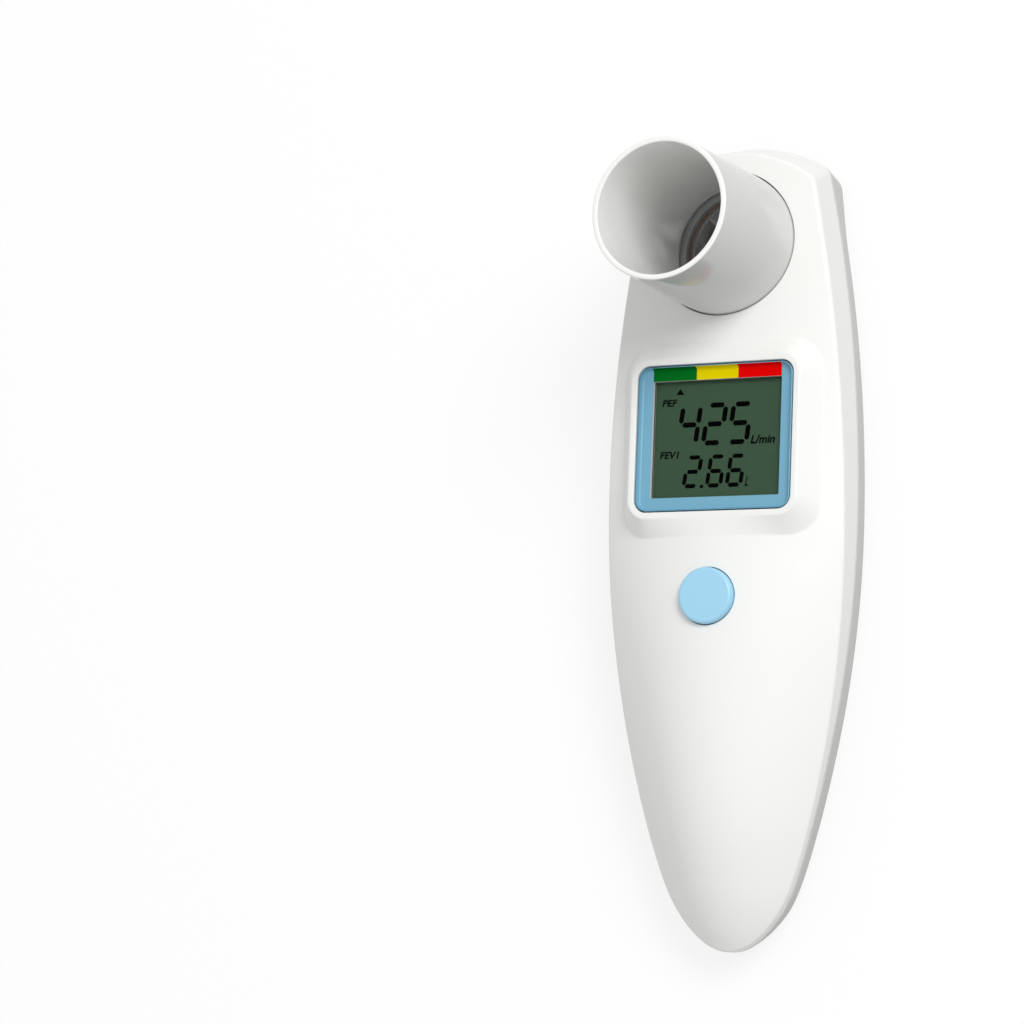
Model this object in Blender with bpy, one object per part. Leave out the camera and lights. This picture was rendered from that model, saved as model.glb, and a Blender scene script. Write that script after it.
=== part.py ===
"""Electronic peak flow meter: a hand-held lung meter with a turbine flow head.

The meter lies on its back. +X is its right side, +Y points along the body to
the mouthpiece end and +Z is the side with the display. Units are metres.
"""
import math

import bmesh
import bpy
from mathutils import Matrix, Vector

MM = 0.001

# Sides of large and of medium round pieces
LARGE_SIDES = 48
MEDIUM_SIDES = 36

# Clearances
CLEAR = 0.3 * MM
SEAM = 0.3 * MM

# Body outline, seen from the front. The sides are arcs that come in by the two narrowings
# on their way from the widest place to the top end and to the tip.
LENGTH = 161.3 * MM
HALF_WIDTH = 25.45 * MM
WIDEST_FROM_TIP = 84.1 * MM
TOP_NARROWING = 9.3 * MM
TIP_NARROWING = 16.3 * MM
TIP_RADIUS = 7.6 * MM
TOP_RADIUS = 30.5 * MM
TOP_CORNER_RADIUS = 3.2 * MM
TOP_LEAN = 3.3 * MM
NOSE_LENGTH = 14.0 * MM
SPINE_FROM_TIP = 9.0 * MM

# Body profiles along the centre, each as (distance from the tip, height). The last
# distance is the whole length, and the curves stretch with the body.
CROWN = ((0.0, 9.4), (4.0, 12.4), (12.0, 16.6), (25.0, 21.2), (40.0, 23.8), (55.0, 24.8),
         (68.5, 24.85), (80.0, 24.3), (100.0, 23.5), (120.0, 22.8), (140.0, 22.1), (161.3, 21.3))
EDGE = ((0.0, 9.4), (12.0, 10.5), (25.0, 11.9), (50.0, 14.4), (75.0, 16.9), (100.0, 18.7),
        (130.0, 20.2), (161.3, 21.3))
PARTING = ((0.0, 7.2), (12.0, 8.3), (22.0, 9.6), (36.0, 10.5), (45.0, 10.7), (161.3, 10.7))
EDGE_ROUND = 0.9 * MM

# Shells
WALL = 1.8 * MM
REAR_FLOOR = 2.0 * MM
REAR_DRAFT = 0.225
REAR_ROUND = 2.5 * MM
LIP_HEIGHT = 1.2 * MM
LIP_WALL = 0.9 * MM
LIP_LEAN = 1.2 * MM

# Places along the body
TUBE_FROM_TOP = 21.8 * MM
DISPLAY_FROM_TUBE = 39.4 * MM
BUTTON_FROM_DISPLAY = 31.6 * MM

# Display frame and window
RIM_HEIGHT = 24.5 * MM
RIM_WIDTH = 1.25 * MM
BEZEL_HALF = (16.5 * MM, 14.45 * MM)
BEZEL_CORNER = 2.4 * MM
BEZEL_DEPTH = 1.3 * MM
BEZEL_EDGE_DROP = 0.25 * MM
BEZEL_SIDE_RUN = 0.75 * MM
BEZEL_THICK = 1.0 * MM
FRAME_FOOT = (3.3 * MM, 3.6 * MM)
FRAME_FOOT_CORNER = 6.6 * MM
FRAME_WALL = 1.7 * MM
FRAME_SKIRT = 1.4 * MM
WINDOW_HALF = (13.8 * MM, 11.75 * MM)
WINDOW_LIP = 0.4 * MM
PANE_OVERLAP = 0.5 * MM
PANE_THICK = 0.5 * MM
GLASS_THICK = 1.6 * MM
GLASS_OVERLAP = 0.8 * MM
GLASS_CORNER = 0.3 * MM
HOLDER_BORDER = 2.6 * MM
HOLDER_CORNER = 0.8 * MM
HOLDER_SEAT = 0.9 * MM
STRIP_WIDTH = 2.0 * MM

# Circuit board
BOARD_TOP = 17.6 * MM
BOARD_THICK = 1.6 * MM
BOARD_HALF_WIDTH = 16.3 * MM
BOARD_BELOW_BUTTON = 12.5 * MM
BOARD_CHAMFER = 2.0 * MM
BOARD_ARM = 7.4 * MM
BOARD_POST = (13.5 * MM, 6.4 * MM, 1.5 * MM)
BAY_POST = (8.0 * MM, 10.6 * MM, 1.5 * MM)
CHIP_SIZE = (9.0 * MM, 7.0 * MM, 1.2 * MM)

# Button
BUTTON_RADIUS = 5.85 * MM
BUTTON_PROUD = 1.4 * MM
BUTTON_ROUND = 0.6 * MM
BUTTON_TRAVEL = 0.6 * MM
BUTTON_FLANGE = 1.2 * MM
BUTTON_FLANGE_THICK = 0.8 * MM
SWITCH_SIZE = (6.2 * MM, 6.2 * MM, 2.0 * MM)
SWITCH_FLOOR = 0.3 * MM
PLUNGER_RADIUS = 1.6 * MM

# Mouthpiece and flow tube
MOUTH_HEIGHT = 53.1 * MM
MOUTH_RIM_RADIUS = 14.0 * MM
MOUTH_BASE_RADIUS = 14.45 * MM
MOUTH_BORE = 12.94 * MM
MOUTH_FLARE_END = 22.0 * MM
SEAL_THICK = 0.7 * MM
SOCKET_WALL = 1.6 * MM
SOCKET_SPLIT = 3.0 * MM

# Turbine, from the rear cover up
GRILLE_RADIUS = 12.1 * MM
GRILLE_RECESS = 0.7 * MM
GRILLE_FLANGE = 1.5 * MM
GRILLE_FLANGE_THICK = 0.7 * MM
GRILLE_BORDER = 1.5 * MM
SLOT_WIDTH = 1.5 * MM
SLOT_PITCH = 2.9 * MM
HOUSING_TOP = 14.3 * MM
HOUSING_BORE = 11.9 * MM
ROTOR_BORE = 10.9 * MM
BRIDGE_THICK = 1.7 * MM
ROTOR_RADIUS = 10.3 * MM
ROTOR_HEIGHT = 3.4 * MM
ROTOR_THICK = 0.6 * MM
ROTOR_GAP = 0.6 * MM
PIN_RADIUS = 0.45 * MM
HUB_RADIUS = 2.0 * MM
SWIRLER_RIM = 0.8 * MM
SWIRLER_VANES = 6
SWIRLER_THICK = 2.9 * MM
VANE_THICK = 0.6 * MM
VANE_TWIST = math.radians(50.0)
RING_WIRE = 0.5 * MM
SENSOR_RADIUS = 1.25 * MM
SENSOR_OFFSET = 9.0 * MM
SENSOR_LENGTH = 7.4 * MM
LEG_INSET = 0.5 * MM
LEG_RADIUS = 0.25 * MM
LEG_SPACING = 1.27 * MM

# Battery bay and door
CELL_RADIUS = 5.25 * MM
CELL_LENGTH = 44.5 * MM
CELL_NUB = (1.9 * MM, 0.9 * MM)
CELL_GAP = 0.5 * MM
SPRING_LENGTH = 3.4 * MM
SPRING_RADIUS = 3.0 * MM
SPRING_WIRE = 0.35 * MM
CONTACT_THICK = 0.4 * MM
CONTACT_HALF = 3.7 * MM
TAIL_HALF = 1.0 * MM
BAY_WALL = 1.2 * MM
BAY_CHAMFER = 2.4 * MM
BAY_FROM_TIP = 24.5 * MM
DOOR_THICK = 1.6 * MM
DOOR_MARGIN = 1.2 * MM
DOOR_OVERLAP = 3.0 * MM
TRAY_THICK = 1.3 * MM
TRAY_MARGIN = 2.0 * MM

# Screws. The top and side ones are placed by their distance in from the body's side, and
# from the top end or above the button.
SCREW_RADIUS = 1.0 * MM
SCREW_HEAD_RADIUS = 1.9 * MM
SCREW_HEAD = 1.5 * MM
SCREW_GRIP = 4.0 * MM
BOSS_WALL = 1.2 * MM
BOSS_STEP = 0.8 * MM
SCREW_RECESS = 0.8 * MM
TOP_SCREW = (6.1 * MM, 8.8 * MM)
SIDE_SCREW = (6.2 * MM, 9.6 * MM)
TIP_SCREW_FROM_TIP = 12.4 * MM

# Worked-out places
Y_TIP = -LENGTH / 2
Y_TOP = LENGTH / 2
Y_WIDEST = Y_TIP + WIDEST_FROM_TIP
TUBE_Y = Y_TOP - TUBE_FROM_TOP
DISPLAY_Y = TUBE_Y - DISPLAY_FROM_TUBE
BUTTON_Y = DISPLAY_Y - BUTTON_FROM_DISPLAY
DISPLAY = (0.0, DISPLAY_Y)
SPINE = (Y_TIP + SPINE_FROM_TIP, TUBE_Y)
UPPER_SIDE_RADIUS = ((Y_TOP - Y_WIDEST) ** 2 + TOP_NARROWING**2) / (2 * TOP_NARROWING)
LOWER_SIDE_RADIUS = (WIDEST_FROM_TIP**2 + TIP_NARROWING**2) / (2 * TIP_NARROWING)

# Heights that cutters and joined forms run to, clear of the whole case
ABOVE = MOUTH_HEIGHT
BELOW = -SCREW_GRIP

RIM_HALF = (BEZEL_HALF[0] + CLEAR + RIM_WIDTH, BEZEL_HALF[1] + CLEAR + RIM_WIDTH)
GLASS_HALF = (WINDOW_HALF[0] + GLASS_OVERLAP, WINDOW_HALF[1] + GLASS_OVERLAP)
HOLDER_HALF = (GLASS_HALF[0] + HOLDER_BORDER, GLASS_HALF[1] + HOLDER_BORDER)
BEZEL_FLOOR = RIM_HEIGHT - BEZEL_DEPTH
PANE_TOP = BEZEL_FLOOR - WINDOW_LIP - CLEAR
GLASS_TOP = PANE_TOP - PANE_THICK - CLEAR
GLASS_BOTTOM = GLASS_TOP - GLASS_THICK
HOLDER_TOP = GLASS_BOTTOM - CLEAR
HOLDER_BOTTOM = BOARD_TOP + CLEAR
BOARD_BOTTOM = BOARD_TOP - BOARD_THICK

SOCKET_RADIUS = MOUTH_BASE_RADIUS + CLEAR
SOCKET_OUTER = SOCKET_RADIUS + SOCKET_WALL
SEAL_BOTTOM = HOUSING_TOP + CLEAR
MOUTH_BOTTOM = SEAL_BOTTOM + SEAL_THICK + CLEAR
GRILLE_TOP = REAR_FLOOR + CLEAR + GRILLE_FLANGE_THICK
HOUSING_BOTTOM = GRILLE_TOP + CLEAR
BRIDGE_BOTTOM = HOUSING_BOTTOM
ROTOR_BOTTOM = BRIDGE_BOTTOM + BRIDGE_THICK + ROTOR_GAP
ROTOR_TOP = ROTOR_BOTTOM + ROTOR_HEIGHT
SWIRLER_BOTTOM = ROTOR_TOP + ROTOR_GAP
SWIRLER_TOP = SWIRLER_BOTTOM + SWIRLER_THICK
SENSOR_Z = ROTOR_BOTTOM + ROTOR_HEIGHT / 2
SENSOR_Y = TUBE_Y - SENSOR_OFFSET
SENSOR_START = math.sqrt(ROTOR_BORE**2 - (SENSOR_OFFSET - SENSOR_RADIUS) ** 2)
SENSOR_END = SENSOR_START + SENSOR_LENGTH

DOOR_CLEAR_Z = DOOR_THICK + CLEAR
CELL_Z = DOOR_CLEAR_Z + CELL_RADIUS
BAY_CEILING = CELL_Z + CELL_RADIUS + CLEAR
BAY_HALF = 2 * CELL_RADIUS + CELL_GAP / 2 + CLEAR
BAY_Y0 = Y_TIP + BAY_FROM_TIP
BAY_Y1 = BAY_Y0 + CELL_LENGTH + SPRING_LENGTH + 2 * CONTACT_THICK + 5 * CLEAR
DOOR_HALF = BAY_HALF + DOOR_MARGIN
DOOR_Y1 = BAY_Y1 + DOOR_OVERLAP
BOSS_RADIUS = SCREW_RADIUS + CLEAR + BOSS_WALL


def material(name, rgb, roughness=0.4, metallic=0.0, alpha=1.0):
    """A plain Principled material."""
    mat = bpy.data.materials.new(name)
    mat.use_nodes = True
    shader = mat.node_tree.nodes["Principled BSDF"]
    shader.inputs["Base Color"].default_value = (*rgb, 1.0)
    shader.inputs["Roughness"].default_value = roughness
    shader.inputs["Metallic"].default_value = metallic
    shader.inputs["Alpha"].default_value = alpha
    return mat


def add_object(name, bm, mat=None, origin=(0.0, 0.0, 0.0)):
    """Put a finished bmesh into the scene, with its origin where asked."""
    bmesh.ops.remove_doubles(bm, verts=bm.verts, dist=1e-7)
    bmesh.ops.recalc_face_normals(bm, faces=bm.faces)
    bmesh.ops.translate(bm, verts=bm.verts, vec=-Vector(origin))
    mesh = bpy.data.meshes.new(name)
    bm.to_mesh(mesh)
    bm.free()
    mesh.shade_smooth()
    mesh.set_sharp_from_angle(angle=math.radians(32))
    obj = bpy.data.objects.new(name, mesh)
    obj.location = origin
    bpy.context.scene.collection.objects.link(obj)
    if mat:
        mesh.materials.append(mat)
    return obj


def boolean(target, tool, operation):
    """Cut, join or intersect with a helper solid that is not a piece itself."""
    mod = target.modifiers.new(tool.name, "BOOLEAN")
    mod.operation = operation
    mod.solver = "EXACT"
    mod.object = tool
    tool.hide_render = True
    tool.display_type = "WIRE"
    return target


def cut(target, *tools):
    for tool in tools:
        boolean(target, tool, "DIFFERENCE")
    return target


def join(target, *tools):
    for tool in tools:
        boolean(target, tool, "UNION")
    return target


def spline(table, distance):
    """Smooth height through a short table that spans the body, at a distance from the tip."""
    points = list(table)
    x = min(max(distance / LENGTH, 0.0), 1.05) * points[-1][0]
    i = 0
    while i < len(points) - 2 and x > points[i + 1][0]:
        i += 1
    (x0, y0), (x1, y1) = points[i], points[i + 1]
    before = points[max(i - 1, 0)]
    after = points[min(i + 2, len(points) - 1)]
    slope0 = (y1 - before[1]) / (x1 - before[0])
    slope1 = (after[1] - y0) / (after[0] - x0)
    h = x1 - x0
    t = (x - x0) / h
    y = ((2 * t**3 - 3 * t**2 + 1) * y0 + (t**3 - 2 * t**2 + t) * h * slope0
         + (3 * t**2 - 2 * t**3) * y1 + (t**3 - t**2) * h * slope1)
    return y * MM


def side_width(y):
    """Half width of the body at y, as if its top end were not cut off."""
    radius = UPPER_SIDE_RADIUS if y > Y_WIDEST else LOWER_SIDE_RADIUS
    reach = y - Y_WIDEST
    side = HALF_WIDTH - (radius - math.sqrt(radius**2 - reach**2))
    tip = math.sqrt(max(y - Y_TIP, 1e-12) * 2 * TIP_RADIUS)
    power = 20
    return (side**-power + tip**-power) ** (-1 / power)


def arc(centre, radius, start, end, steps):
    """Points along an arc, without its last one."""
    points = []
    for k in range(steps):
        a = start + (end - start) * k / steps
        points.append((centre[0] + radius * math.cos(a), centre[1] + radius * math.sin(a)))
    return points


def outline(top_y):
    """Outline of the body with its top end at top_y: top centre, right side, tip, left side."""
    top_centre = (0.0, top_y - TOP_RADIUS)
    side_centre = (HALF_WIDTH - UPPER_SIDE_RADIUS, Y_WIDEST)
    r1 = TOP_RADIUS - TOP_CORNER_RADIUS
    r2 = UPPER_SIDE_RADIUS - TOP_CORNER_RADIUS
    dx = side_centre[0] - top_centre[0]
    dy = side_centre[1] - top_centre[1]
    apart = math.hypot(dx, dy)
    along = (r1**2 - r2**2 + apart**2) / (2 * apart)
    across = math.sqrt(r1**2 - along**2)
    crossings = []
    for sign in (-1, 1):
        crossings.append((top_centre[0] + (along * dx - sign * across * dy) / apart,
                          top_centre[1] + (along * dy + sign * across * dx) / apart))
    corner = max(crossings, key=lambda p: p[1])
    a1 = math.atan2(corner[1] - top_centre[1], corner[0] - top_centre[0])
    a2 = math.atan2(corner[1] - side_centre[1], corner[0] - side_centre[0])
    right = arc(top_centre, TOP_RADIUS, math.pi / 2, a1, 6)
    right += arc(corner, TOP_CORNER_RADIUS, a1, a2, 4)
    right += arc(side_centre, UPPER_SIDE_RADIUS, a2, 0.0, 7)
    low = Y_TIP + NOSE_LENGTH
    for k in range(7):
        y = Y_WIDEST + (low - Y_WIDEST) * k / 7
        right.append((side_width(y), y))
    for k in range(8):
        y = Y_TIP + (low - Y_TIP) * (1 - k / 8) ** 2
        right.append((side_width(y), y))
    left = [(-x, y) for x, y in reversed(right[1:])]
    return right + [(0.0, Y_TIP)] + left


def inward(point, inset):
    """Move an outline point towards the body's centre line."""
    x, y = point
    goal = min(max(y, SPINE[0]), SPINE[1])
    reach = math.hypot(x, goal - y)
    share = min(inset / reach, 1.0) if reach > 1e-9 else 0.0
    return (x * (1 - share), y + (goal - y) * share)


def crown_height(x, y):
    """Height of the front surface."""
    distance = y - Y_TIP
    middle = spline(CROWN, distance)
    edge = spline(EDGE, distance)
    share = min(abs(x) / side_width(y), 1.0)
    return middle - (middle - edge) * share**2


def parting_height(y):
    return spline(PARTING, y - Y_TIP)


def bridge_rings(bm, lower, upper):
    """Faces between two rings of vertices of the same length."""
    count = len(lower)
    for i in range(count):
        j = (i + 1) % count
        bm.faces.new((lower[i], lower[j], upper[j], upper[i]))


def ring_verts(bm, points):
    return [bm.verts.new(p) for p in points]


def cap_across(bm, ring):
    """Close a left-right symmetrical ring with strips across the body."""
    count = len(ring)
    half = count // 2
    bm.faces.new((ring[0], ring[1], ring[-1]))
    for i in range(1, half - 1):
        bm.faces.new((ring[i], ring[i + 1], ring[count - i - 1], ring[count - i]))
    bm.faces.new((ring[half - 1], ring[half], ring[half + 1]))


def body_front(name, inset, drop, skirt, angles=(0.0, 35.0, 65.0, 90.0), rows=5):
    """Solid of the front half: from the parting line up to the crowned face.

    The inner hollow is the same form, set in by the wall and dropped by it, with fewer
    steps round its edge and fewer rows of faces up to its centre line.
    """
    bm = bmesh.new()
    base = [inward(p, inset) for p in outline(Y_TOP)]
    front = [inward(p, inset) for p in outline(Y_TOP - TOP_LEAN)]
    rings = [ring_verts(bm, [(x, y, parting_height(y) - skirt) for x, y in base])]
    round_off = EDGE_ROUND
    for angle in angles:
        a = math.radians(angle)
        level = []
        for p in front:
            x, y = inward(p, round_off * (1 - math.cos(a)))
            z = crown_height(p[0], p[1]) - drop - round_off * (1 - math.sin(a))
            if angle == 90.0:
                z = crown_height(x, y) - drop
            level.append((x, y, z))
        rings.append(ring_verts(bm, level))
    for row in range(1, rows + 1):
        share = row / rows
        level = []
        for p in front:
            start = inward(p, round_off)
            goal = (0.0, min(max(p[1], SPINE[0]), SPINE[1]))
            x = start[0] + (goal[0] - start[0]) * share
            y = start[1] + (goal[1] - start[1]) * share
            level.append((x, y, crown_height(x, y) - drop))
        rings.append(ring_verts(bm, level))
    for lower, upper in zip(rings, rings[1:]):
        bridge_rings(bm, lower, upper)
    cap_across(bm, rings[0])
    bmesh.ops.remove_doubles(bm, verts=bm.verts, dist=1e-6)
    bmesh.ops.dissolve_degenerate(bm, edges=bm.edges, dist=1e-6)
    return add_object(name, bm)


def rear_inset(point, z):
    """Inset of the rear shell at height z: the sides lean in, the top end hardly does."""
    x, y = point
    goal = min(max(y, SPINE[0]), SPINE[1])
    reach = math.hypot(x, y - goal)
    facing_top = max(0.0, (y - goal) / reach)
    return REAR_DRAFT * max(parting_height(y) - z, 0.0) * (1 - 0.9 * facing_top**2)


def body_rear(name, levels, top_offset, top_inset, lean=0.0, under_front=False):
    """Solid of the rear half. levels are (height, extra inset), the last ring is at the parting.

    lean moves the last ring in at the top end, and with under_front it stays below the
    inside of the front cover.
    """
    bm = bmesh.new()
    base = outline(Y_TOP)
    rings = []
    for z, extra in levels:
        ring = []
        for p in base:
            x, y = inward(p, rear_inset(p, z) + extra)
            ring.append((x, y, z))
        rings.append(ring_verts(bm, ring))
    top = []
    for p in base:
        z = parting_height(p[1]) + top_offset
        near_top = max(0.0, p[1] - TUBE_Y) / (Y_TOP - TUBE_Y)
        x, y = inward(p, top_inset + near_top * lean)
        if under_front:
            z = min(z, crown_height(x, y) - WALL - EDGE_ROUND - CLEAR)
        top.append((x, y, z))
    rings.append(ring_verts(bm, top))
    for lower, upper in zip(rings, rings[1:]):
        bridge_rings(bm, lower, upper)
    cap_across(bm, rings[0])
    cap_across(bm, rings[-1])
    return add_object(name, bm)


def rounded_rect(half_x, half_y, radius, steps=5, centre=(0.0, 0.0)):
    """Outline of a rectangle with round corners, counter-clockwise."""
    points = []
    corners = ((1, -1, -90), (1, 1, 0), (-1, 1, 90), (-1, -1, 180))
    for sx, sy, start in corners:
        cx = centre[0] + sx * (half_x - radius)
        cy = centre[1] + sy * (half_y - radius)
        for k in range(steps + 1):
            a = math.radians(start + 90 * k / steps)
            points.append((cx + radius * math.cos(a), cy + radius * math.sin(a)))
    return points


def stack(levels):
    """Solid through a stack of rings, each given as (outline points, height)."""
    bm = bmesh.new()
    rings = [ring_verts(bm, [(x, y, z) for x, y in points]) for points, z in levels]
    for lower, upper in zip(rings, rings[1:]):
        bridge_rings(bm, lower, upper)
    bm.faces.new(list(reversed(rings[0])))
    bm.faces.new(rings[-1])
    return bm


def box(x0, x1, y0, y1, z0, z1):
    points = [(x0, y0), (x1, y0), (x1, y1), (x0, y1)]
    return stack([(points, z0), (points, z1)])


def circle(radius, steps, centre=(0.0, 0.0)):
    return [(centre[0] + radius * math.cos(2 * math.pi * k / steps),
             centre[1] + radius * math.sin(2 * math.pi * k / steps)) for k in range(steps)]


def post(x, y, radius, z0, z1, steps=16):
    points = circle(radius, steps, (x, y))
    return stack([(points, z0), (points, z1)])


def merge(*parts):
    """Several separate closed shapes in one bmesh."""
    whole = bmesh.new()
    for part in parts:
        mesh = bpy.data.meshes.new("scratch")
        part.to_mesh(mesh)
        part.free()
        whole.from_mesh(mesh)
        bpy.data.meshes.remove(mesh)
    return whole


def lathe(profile, steps, centre=(0.0, 0.0)):
    """Turn a closed profile of (radius, height) round the vertical through centre."""
    bm = bmesh.new()
    verts = [bm.verts.new((r, 0.0, z)) for r, z in profile]
    edges = []
    for i, vert in enumerate(verts):
        edges.append(bm.edges.new((vert, verts[(i + 1) % len(verts)])))
    bmesh.ops.spin(bm, geom=verts + edges, cent=(0, 0, 0), axis=(0, 0, 1), angle=2 * math.pi,
                   steps=steps, use_merge=True)
    bmesh.ops.remove_doubles(bm, verts=bm.verts, dist=1e-7)
    bmesh.ops.dissolve_degenerate(bm, edges=bm.edges, dist=1e-7)
    loose = [edge for edge in bm.edges if not edge.link_faces]
    bmesh.ops.delete(bm, geom=loose, context="EDGES")
    bmesh.ops.translate(bm, verts=bm.verts, vec=(centre[0], centre[1], 0.0))
    return bm


def tube_ring(inner, outer, z0, z1, steps=MEDIUM_SIDES):
    return lathe([(inner, z0), (outer, z0), (outer, z1), (inner, z1)], steps, (0.0, TUBE_Y))


def screw_places():
    """Where the five case screws stand, as (x, y, height of the head's underside)."""
    seat = SCREW_RECESS + SCREW_HEAD
    top_y = Y_TOP - TOP_SCREW[1]
    side_y = BUTTON_Y + SIDE_SCREW[1]
    places = []
    for side in (-1, 1):
        places.append((side * (side_width(top_y) - TOP_SCREW[0]), top_y, seat))
        places.append((side * (side_width(side_y) - SIDE_SCREW[0]), side_y, seat))
    places.append((0.0, Y_TIP + TIP_SCREW_FROM_TIP, DOOR_CLEAR_Z + CLEAR + SCREW_HEAD))
    return places


def boss_joint(y):
    """Height where the front and rear screw bosses meet."""
    if y > TUBE_Y:
        return HOUSING_TOP - SOCKET_SPLIT
    return parting_height(y) + LIP_HEIGHT + BOSS_STEP


def display_frame():
    """Raised frame: a flat rim whose sides slope down to the crowned face."""
    steps = 6
    corner = BEZEL_CORNER + CLEAR + RIM_WIDTH
    rim = rounded_rect(RIM_HALF[0], RIM_HALF[1], corner, steps, DISPLAY)
    rounded = rounded_rect(RIM_HALF[0] + 0.3 * MM, RIM_HALF[1] + 0.3 * MM, corner + 0.3 * MM,
                           steps, DISPLAY)
    foot = rounded_rect(RIM_HALF[0] + FRAME_FOOT[0], RIM_HALF[1] + FRAME_FOOT[1],
                        FRAME_FOOT_CORNER, steps, DISPLAY)
    bm = bmesh.new()
    sink = 1.12
    low = []
    for (rx, ry), (fx, fy) in zip(rounded, foot):
        top = RIM_HEIGHT - 0.15 * MM
        z = top + (crown_height(fx, fy) - top) * sink
        z = min(z, crown_height(fx, fy) - 0.2 * MM)
        low.append((rx + (fx - rx) * sink, ry + (fy - ry) * sink, z))
    inner = rounded_rect(BEZEL_HALF[0], BEZEL_HALF[1], BEZEL_CORNER, steps, DISPLAY)
    rings = [ring_verts(bm, [(x, y, z - WALL / 2) for x, y, z in low]), ring_verts(bm, low),
             ring_verts(bm, [(x, y, RIM_HEIGHT - 0.15 * MM) for x, y in rounded]),
             ring_verts(bm, [(x, y, RIM_HEIGHT) for x, y in rim]),
             ring_verts(bm, [(x, y, RIM_HEIGHT) for x, y in inner])]
    for lower, upper in zip(rings, rings[1:]):
        bridge_rings(bm, lower, upper)
    # Inside the opening, which is cut out later, the top stands clear of the crown.
    crown = crown_height(0.0, DISPLAY_Y)
    for ring, z in ((rings[0], crown - WALL / 2 - 0.2 * MM), (rings[-1], max(crown, RIM_HEIGHT) + 3 * MM)):
        middle = bm.verts.new((0.0, DISPLAY_Y, z))
        for i in range(len(ring)):
            bm.faces.new((ring[i], ring[(i + 1) % len(ring)], middle))
    return add_object("frame_form", bm)


def front_posts():
    """What stands inside the front cover: flow socket, screw bosses, display surround, stops."""
    low = HOUSING_TOP - SOCKET_SPLIT
    socket = add_object("socket_form", post(0.0, TUBE_Y, SOCKET_OUTER, low, ABOVE, LARGE_SIDES))
    bosses = [post(x, y, BOSS_RADIUS, boss_joint(y), ABOVE) for x, y, _ in screw_places()]
    x, up, radius = BOARD_POST
    stops = [post(side * x, BUTTON_Y - up, radius, BOARD_TOP + CLEAR, ABOVE, 12) for side in (-1, 1)]
    surround = rounded_rect(BEZEL_HALF[0] + CLEAR + FRAME_WALL, BEZEL_HALF[1] + CLEAR + FRAME_WALL,
                            BEZEL_CORNER + FRAME_WALL, 4, DISPLAY)
    return [socket, add_object("boss_forms", merge(*bosses)), add_object("stop_forms", merge(*stops)),
            add_object("surround_form", stack([(surround, HOLDER_TOP - FRAME_SKIRT), (surround, ABOVE)]))]


def front_cover():
    cover = body_front("front_cover", 0.0, 0.0, 0.0)
    hollow = body_front("front_hollow", WALL, WALL, 2 * MM, (0.0, 90.0), 4)
    cut(hollow, *front_posts())
    join(cover, display_frame())
    cut(cover, hollow)
    opening = rounded_rect(BEZEL_HALF[0] + CLEAR, BEZEL_HALF[1] + CLEAR, BEZEL_CORNER + CLEAR, 6, DISPLAY)
    ledge = rounded_rect(GLASS_HALF[0] + CLEAR, GLASS_HALF[1] + CLEAR, GLASS_CORNER + CLEAR, 2, DISPLAY)
    pocket = rounded_rect(HOLDER_HALF[0] + CLEAR, HOLDER_HALF[1] + CLEAR, HOLDER_CORNER + CLEAR, 2, DISPLAY)
    seat = BEZEL_FLOOR - BEZEL_THICK - CLEAR
    cut(cover, add_object("bezel_cut", stack([(opening, seat), (opening, ABOVE)])),
        add_object("glass_cut", stack([(ledge, 0.0), (ledge, seat + CLEAR)])),
        add_object("holder_cut", stack([(pocket, BELOW), (pocket, HOLDER_TOP + CLEAR)])))
    button = post(0.0, BUTTON_Y, BUTTON_RADIUS + CLEAR, BOARD_TOP, ABOVE, 32)
    holes = []
    for x, y, _ in screw_places():
        end = boss_joint(y) + SCREW_GRIP + 2 * CLEAR
        holes.append(post(x, y, SCREW_RADIUS + CLEAR, 0.0, end, 12))
    cut(cover, add_object("socket_cut", post(0.0, TUBE_Y, SOCKET_RADIUS, 0.0, ABOVE, LARGE_SIDES)),
        add_object("button_cut", button), add_object("pilot_cuts", merge(*holes)))
    cover.data.materials.append(material("front_plastic", (0.88, 0.88, 0.87), 0.3))
    return cover


def prism_along_y(points, y0, y1):
    """Solid with a profile given as (x, z), drawn out from y0 to y1."""
    bm = bmesh.new()
    rings = [ring_verts(bm, [(x, y, z) for x, z in points]) for y in (y0, y1)]
    bridge_rings(bm, rings[0], rings[1])
    bm.faces.new(list(reversed(rings[0])))
    bm.faces.new(rings[1])
    return bm


def bay_profile(half, floor, ceiling, chamfer):
    return [(-half, floor), (half, floor), (half, ceiling - chamfer), (half - chamfer, ceiling),
            (chamfer - half, ceiling), (-half, ceiling - chamfer)]


def along_x(bm, y, z):
    """Lay a bmesh that stands on Z down along X, through (y, z)."""
    bmesh.ops.transform(bm, matrix=Matrix.Rotation(math.pi / 2, 4, "Y"), verts=bm.verts)
    bmesh.ops.translate(bm, verts=bm.verts, vec=(0.0, y, z))
    return bm


def contact_x(side):
    return side * (CELL_RADIUS + CELL_GAP / 2)


def rear_form(name):
    """Outer form of the rear shell, with its round lower edge."""
    r = REAR_ROUND
    levels = []
    for angle in (90.0, 60.0, 30.0, 0.0):
        a = math.radians(angle)
        levels.append((r * (1 - math.sin(a)), r * (1 - math.cos(a))))
    return body_rear(name, levels, -SEAM, 0.0)


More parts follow.
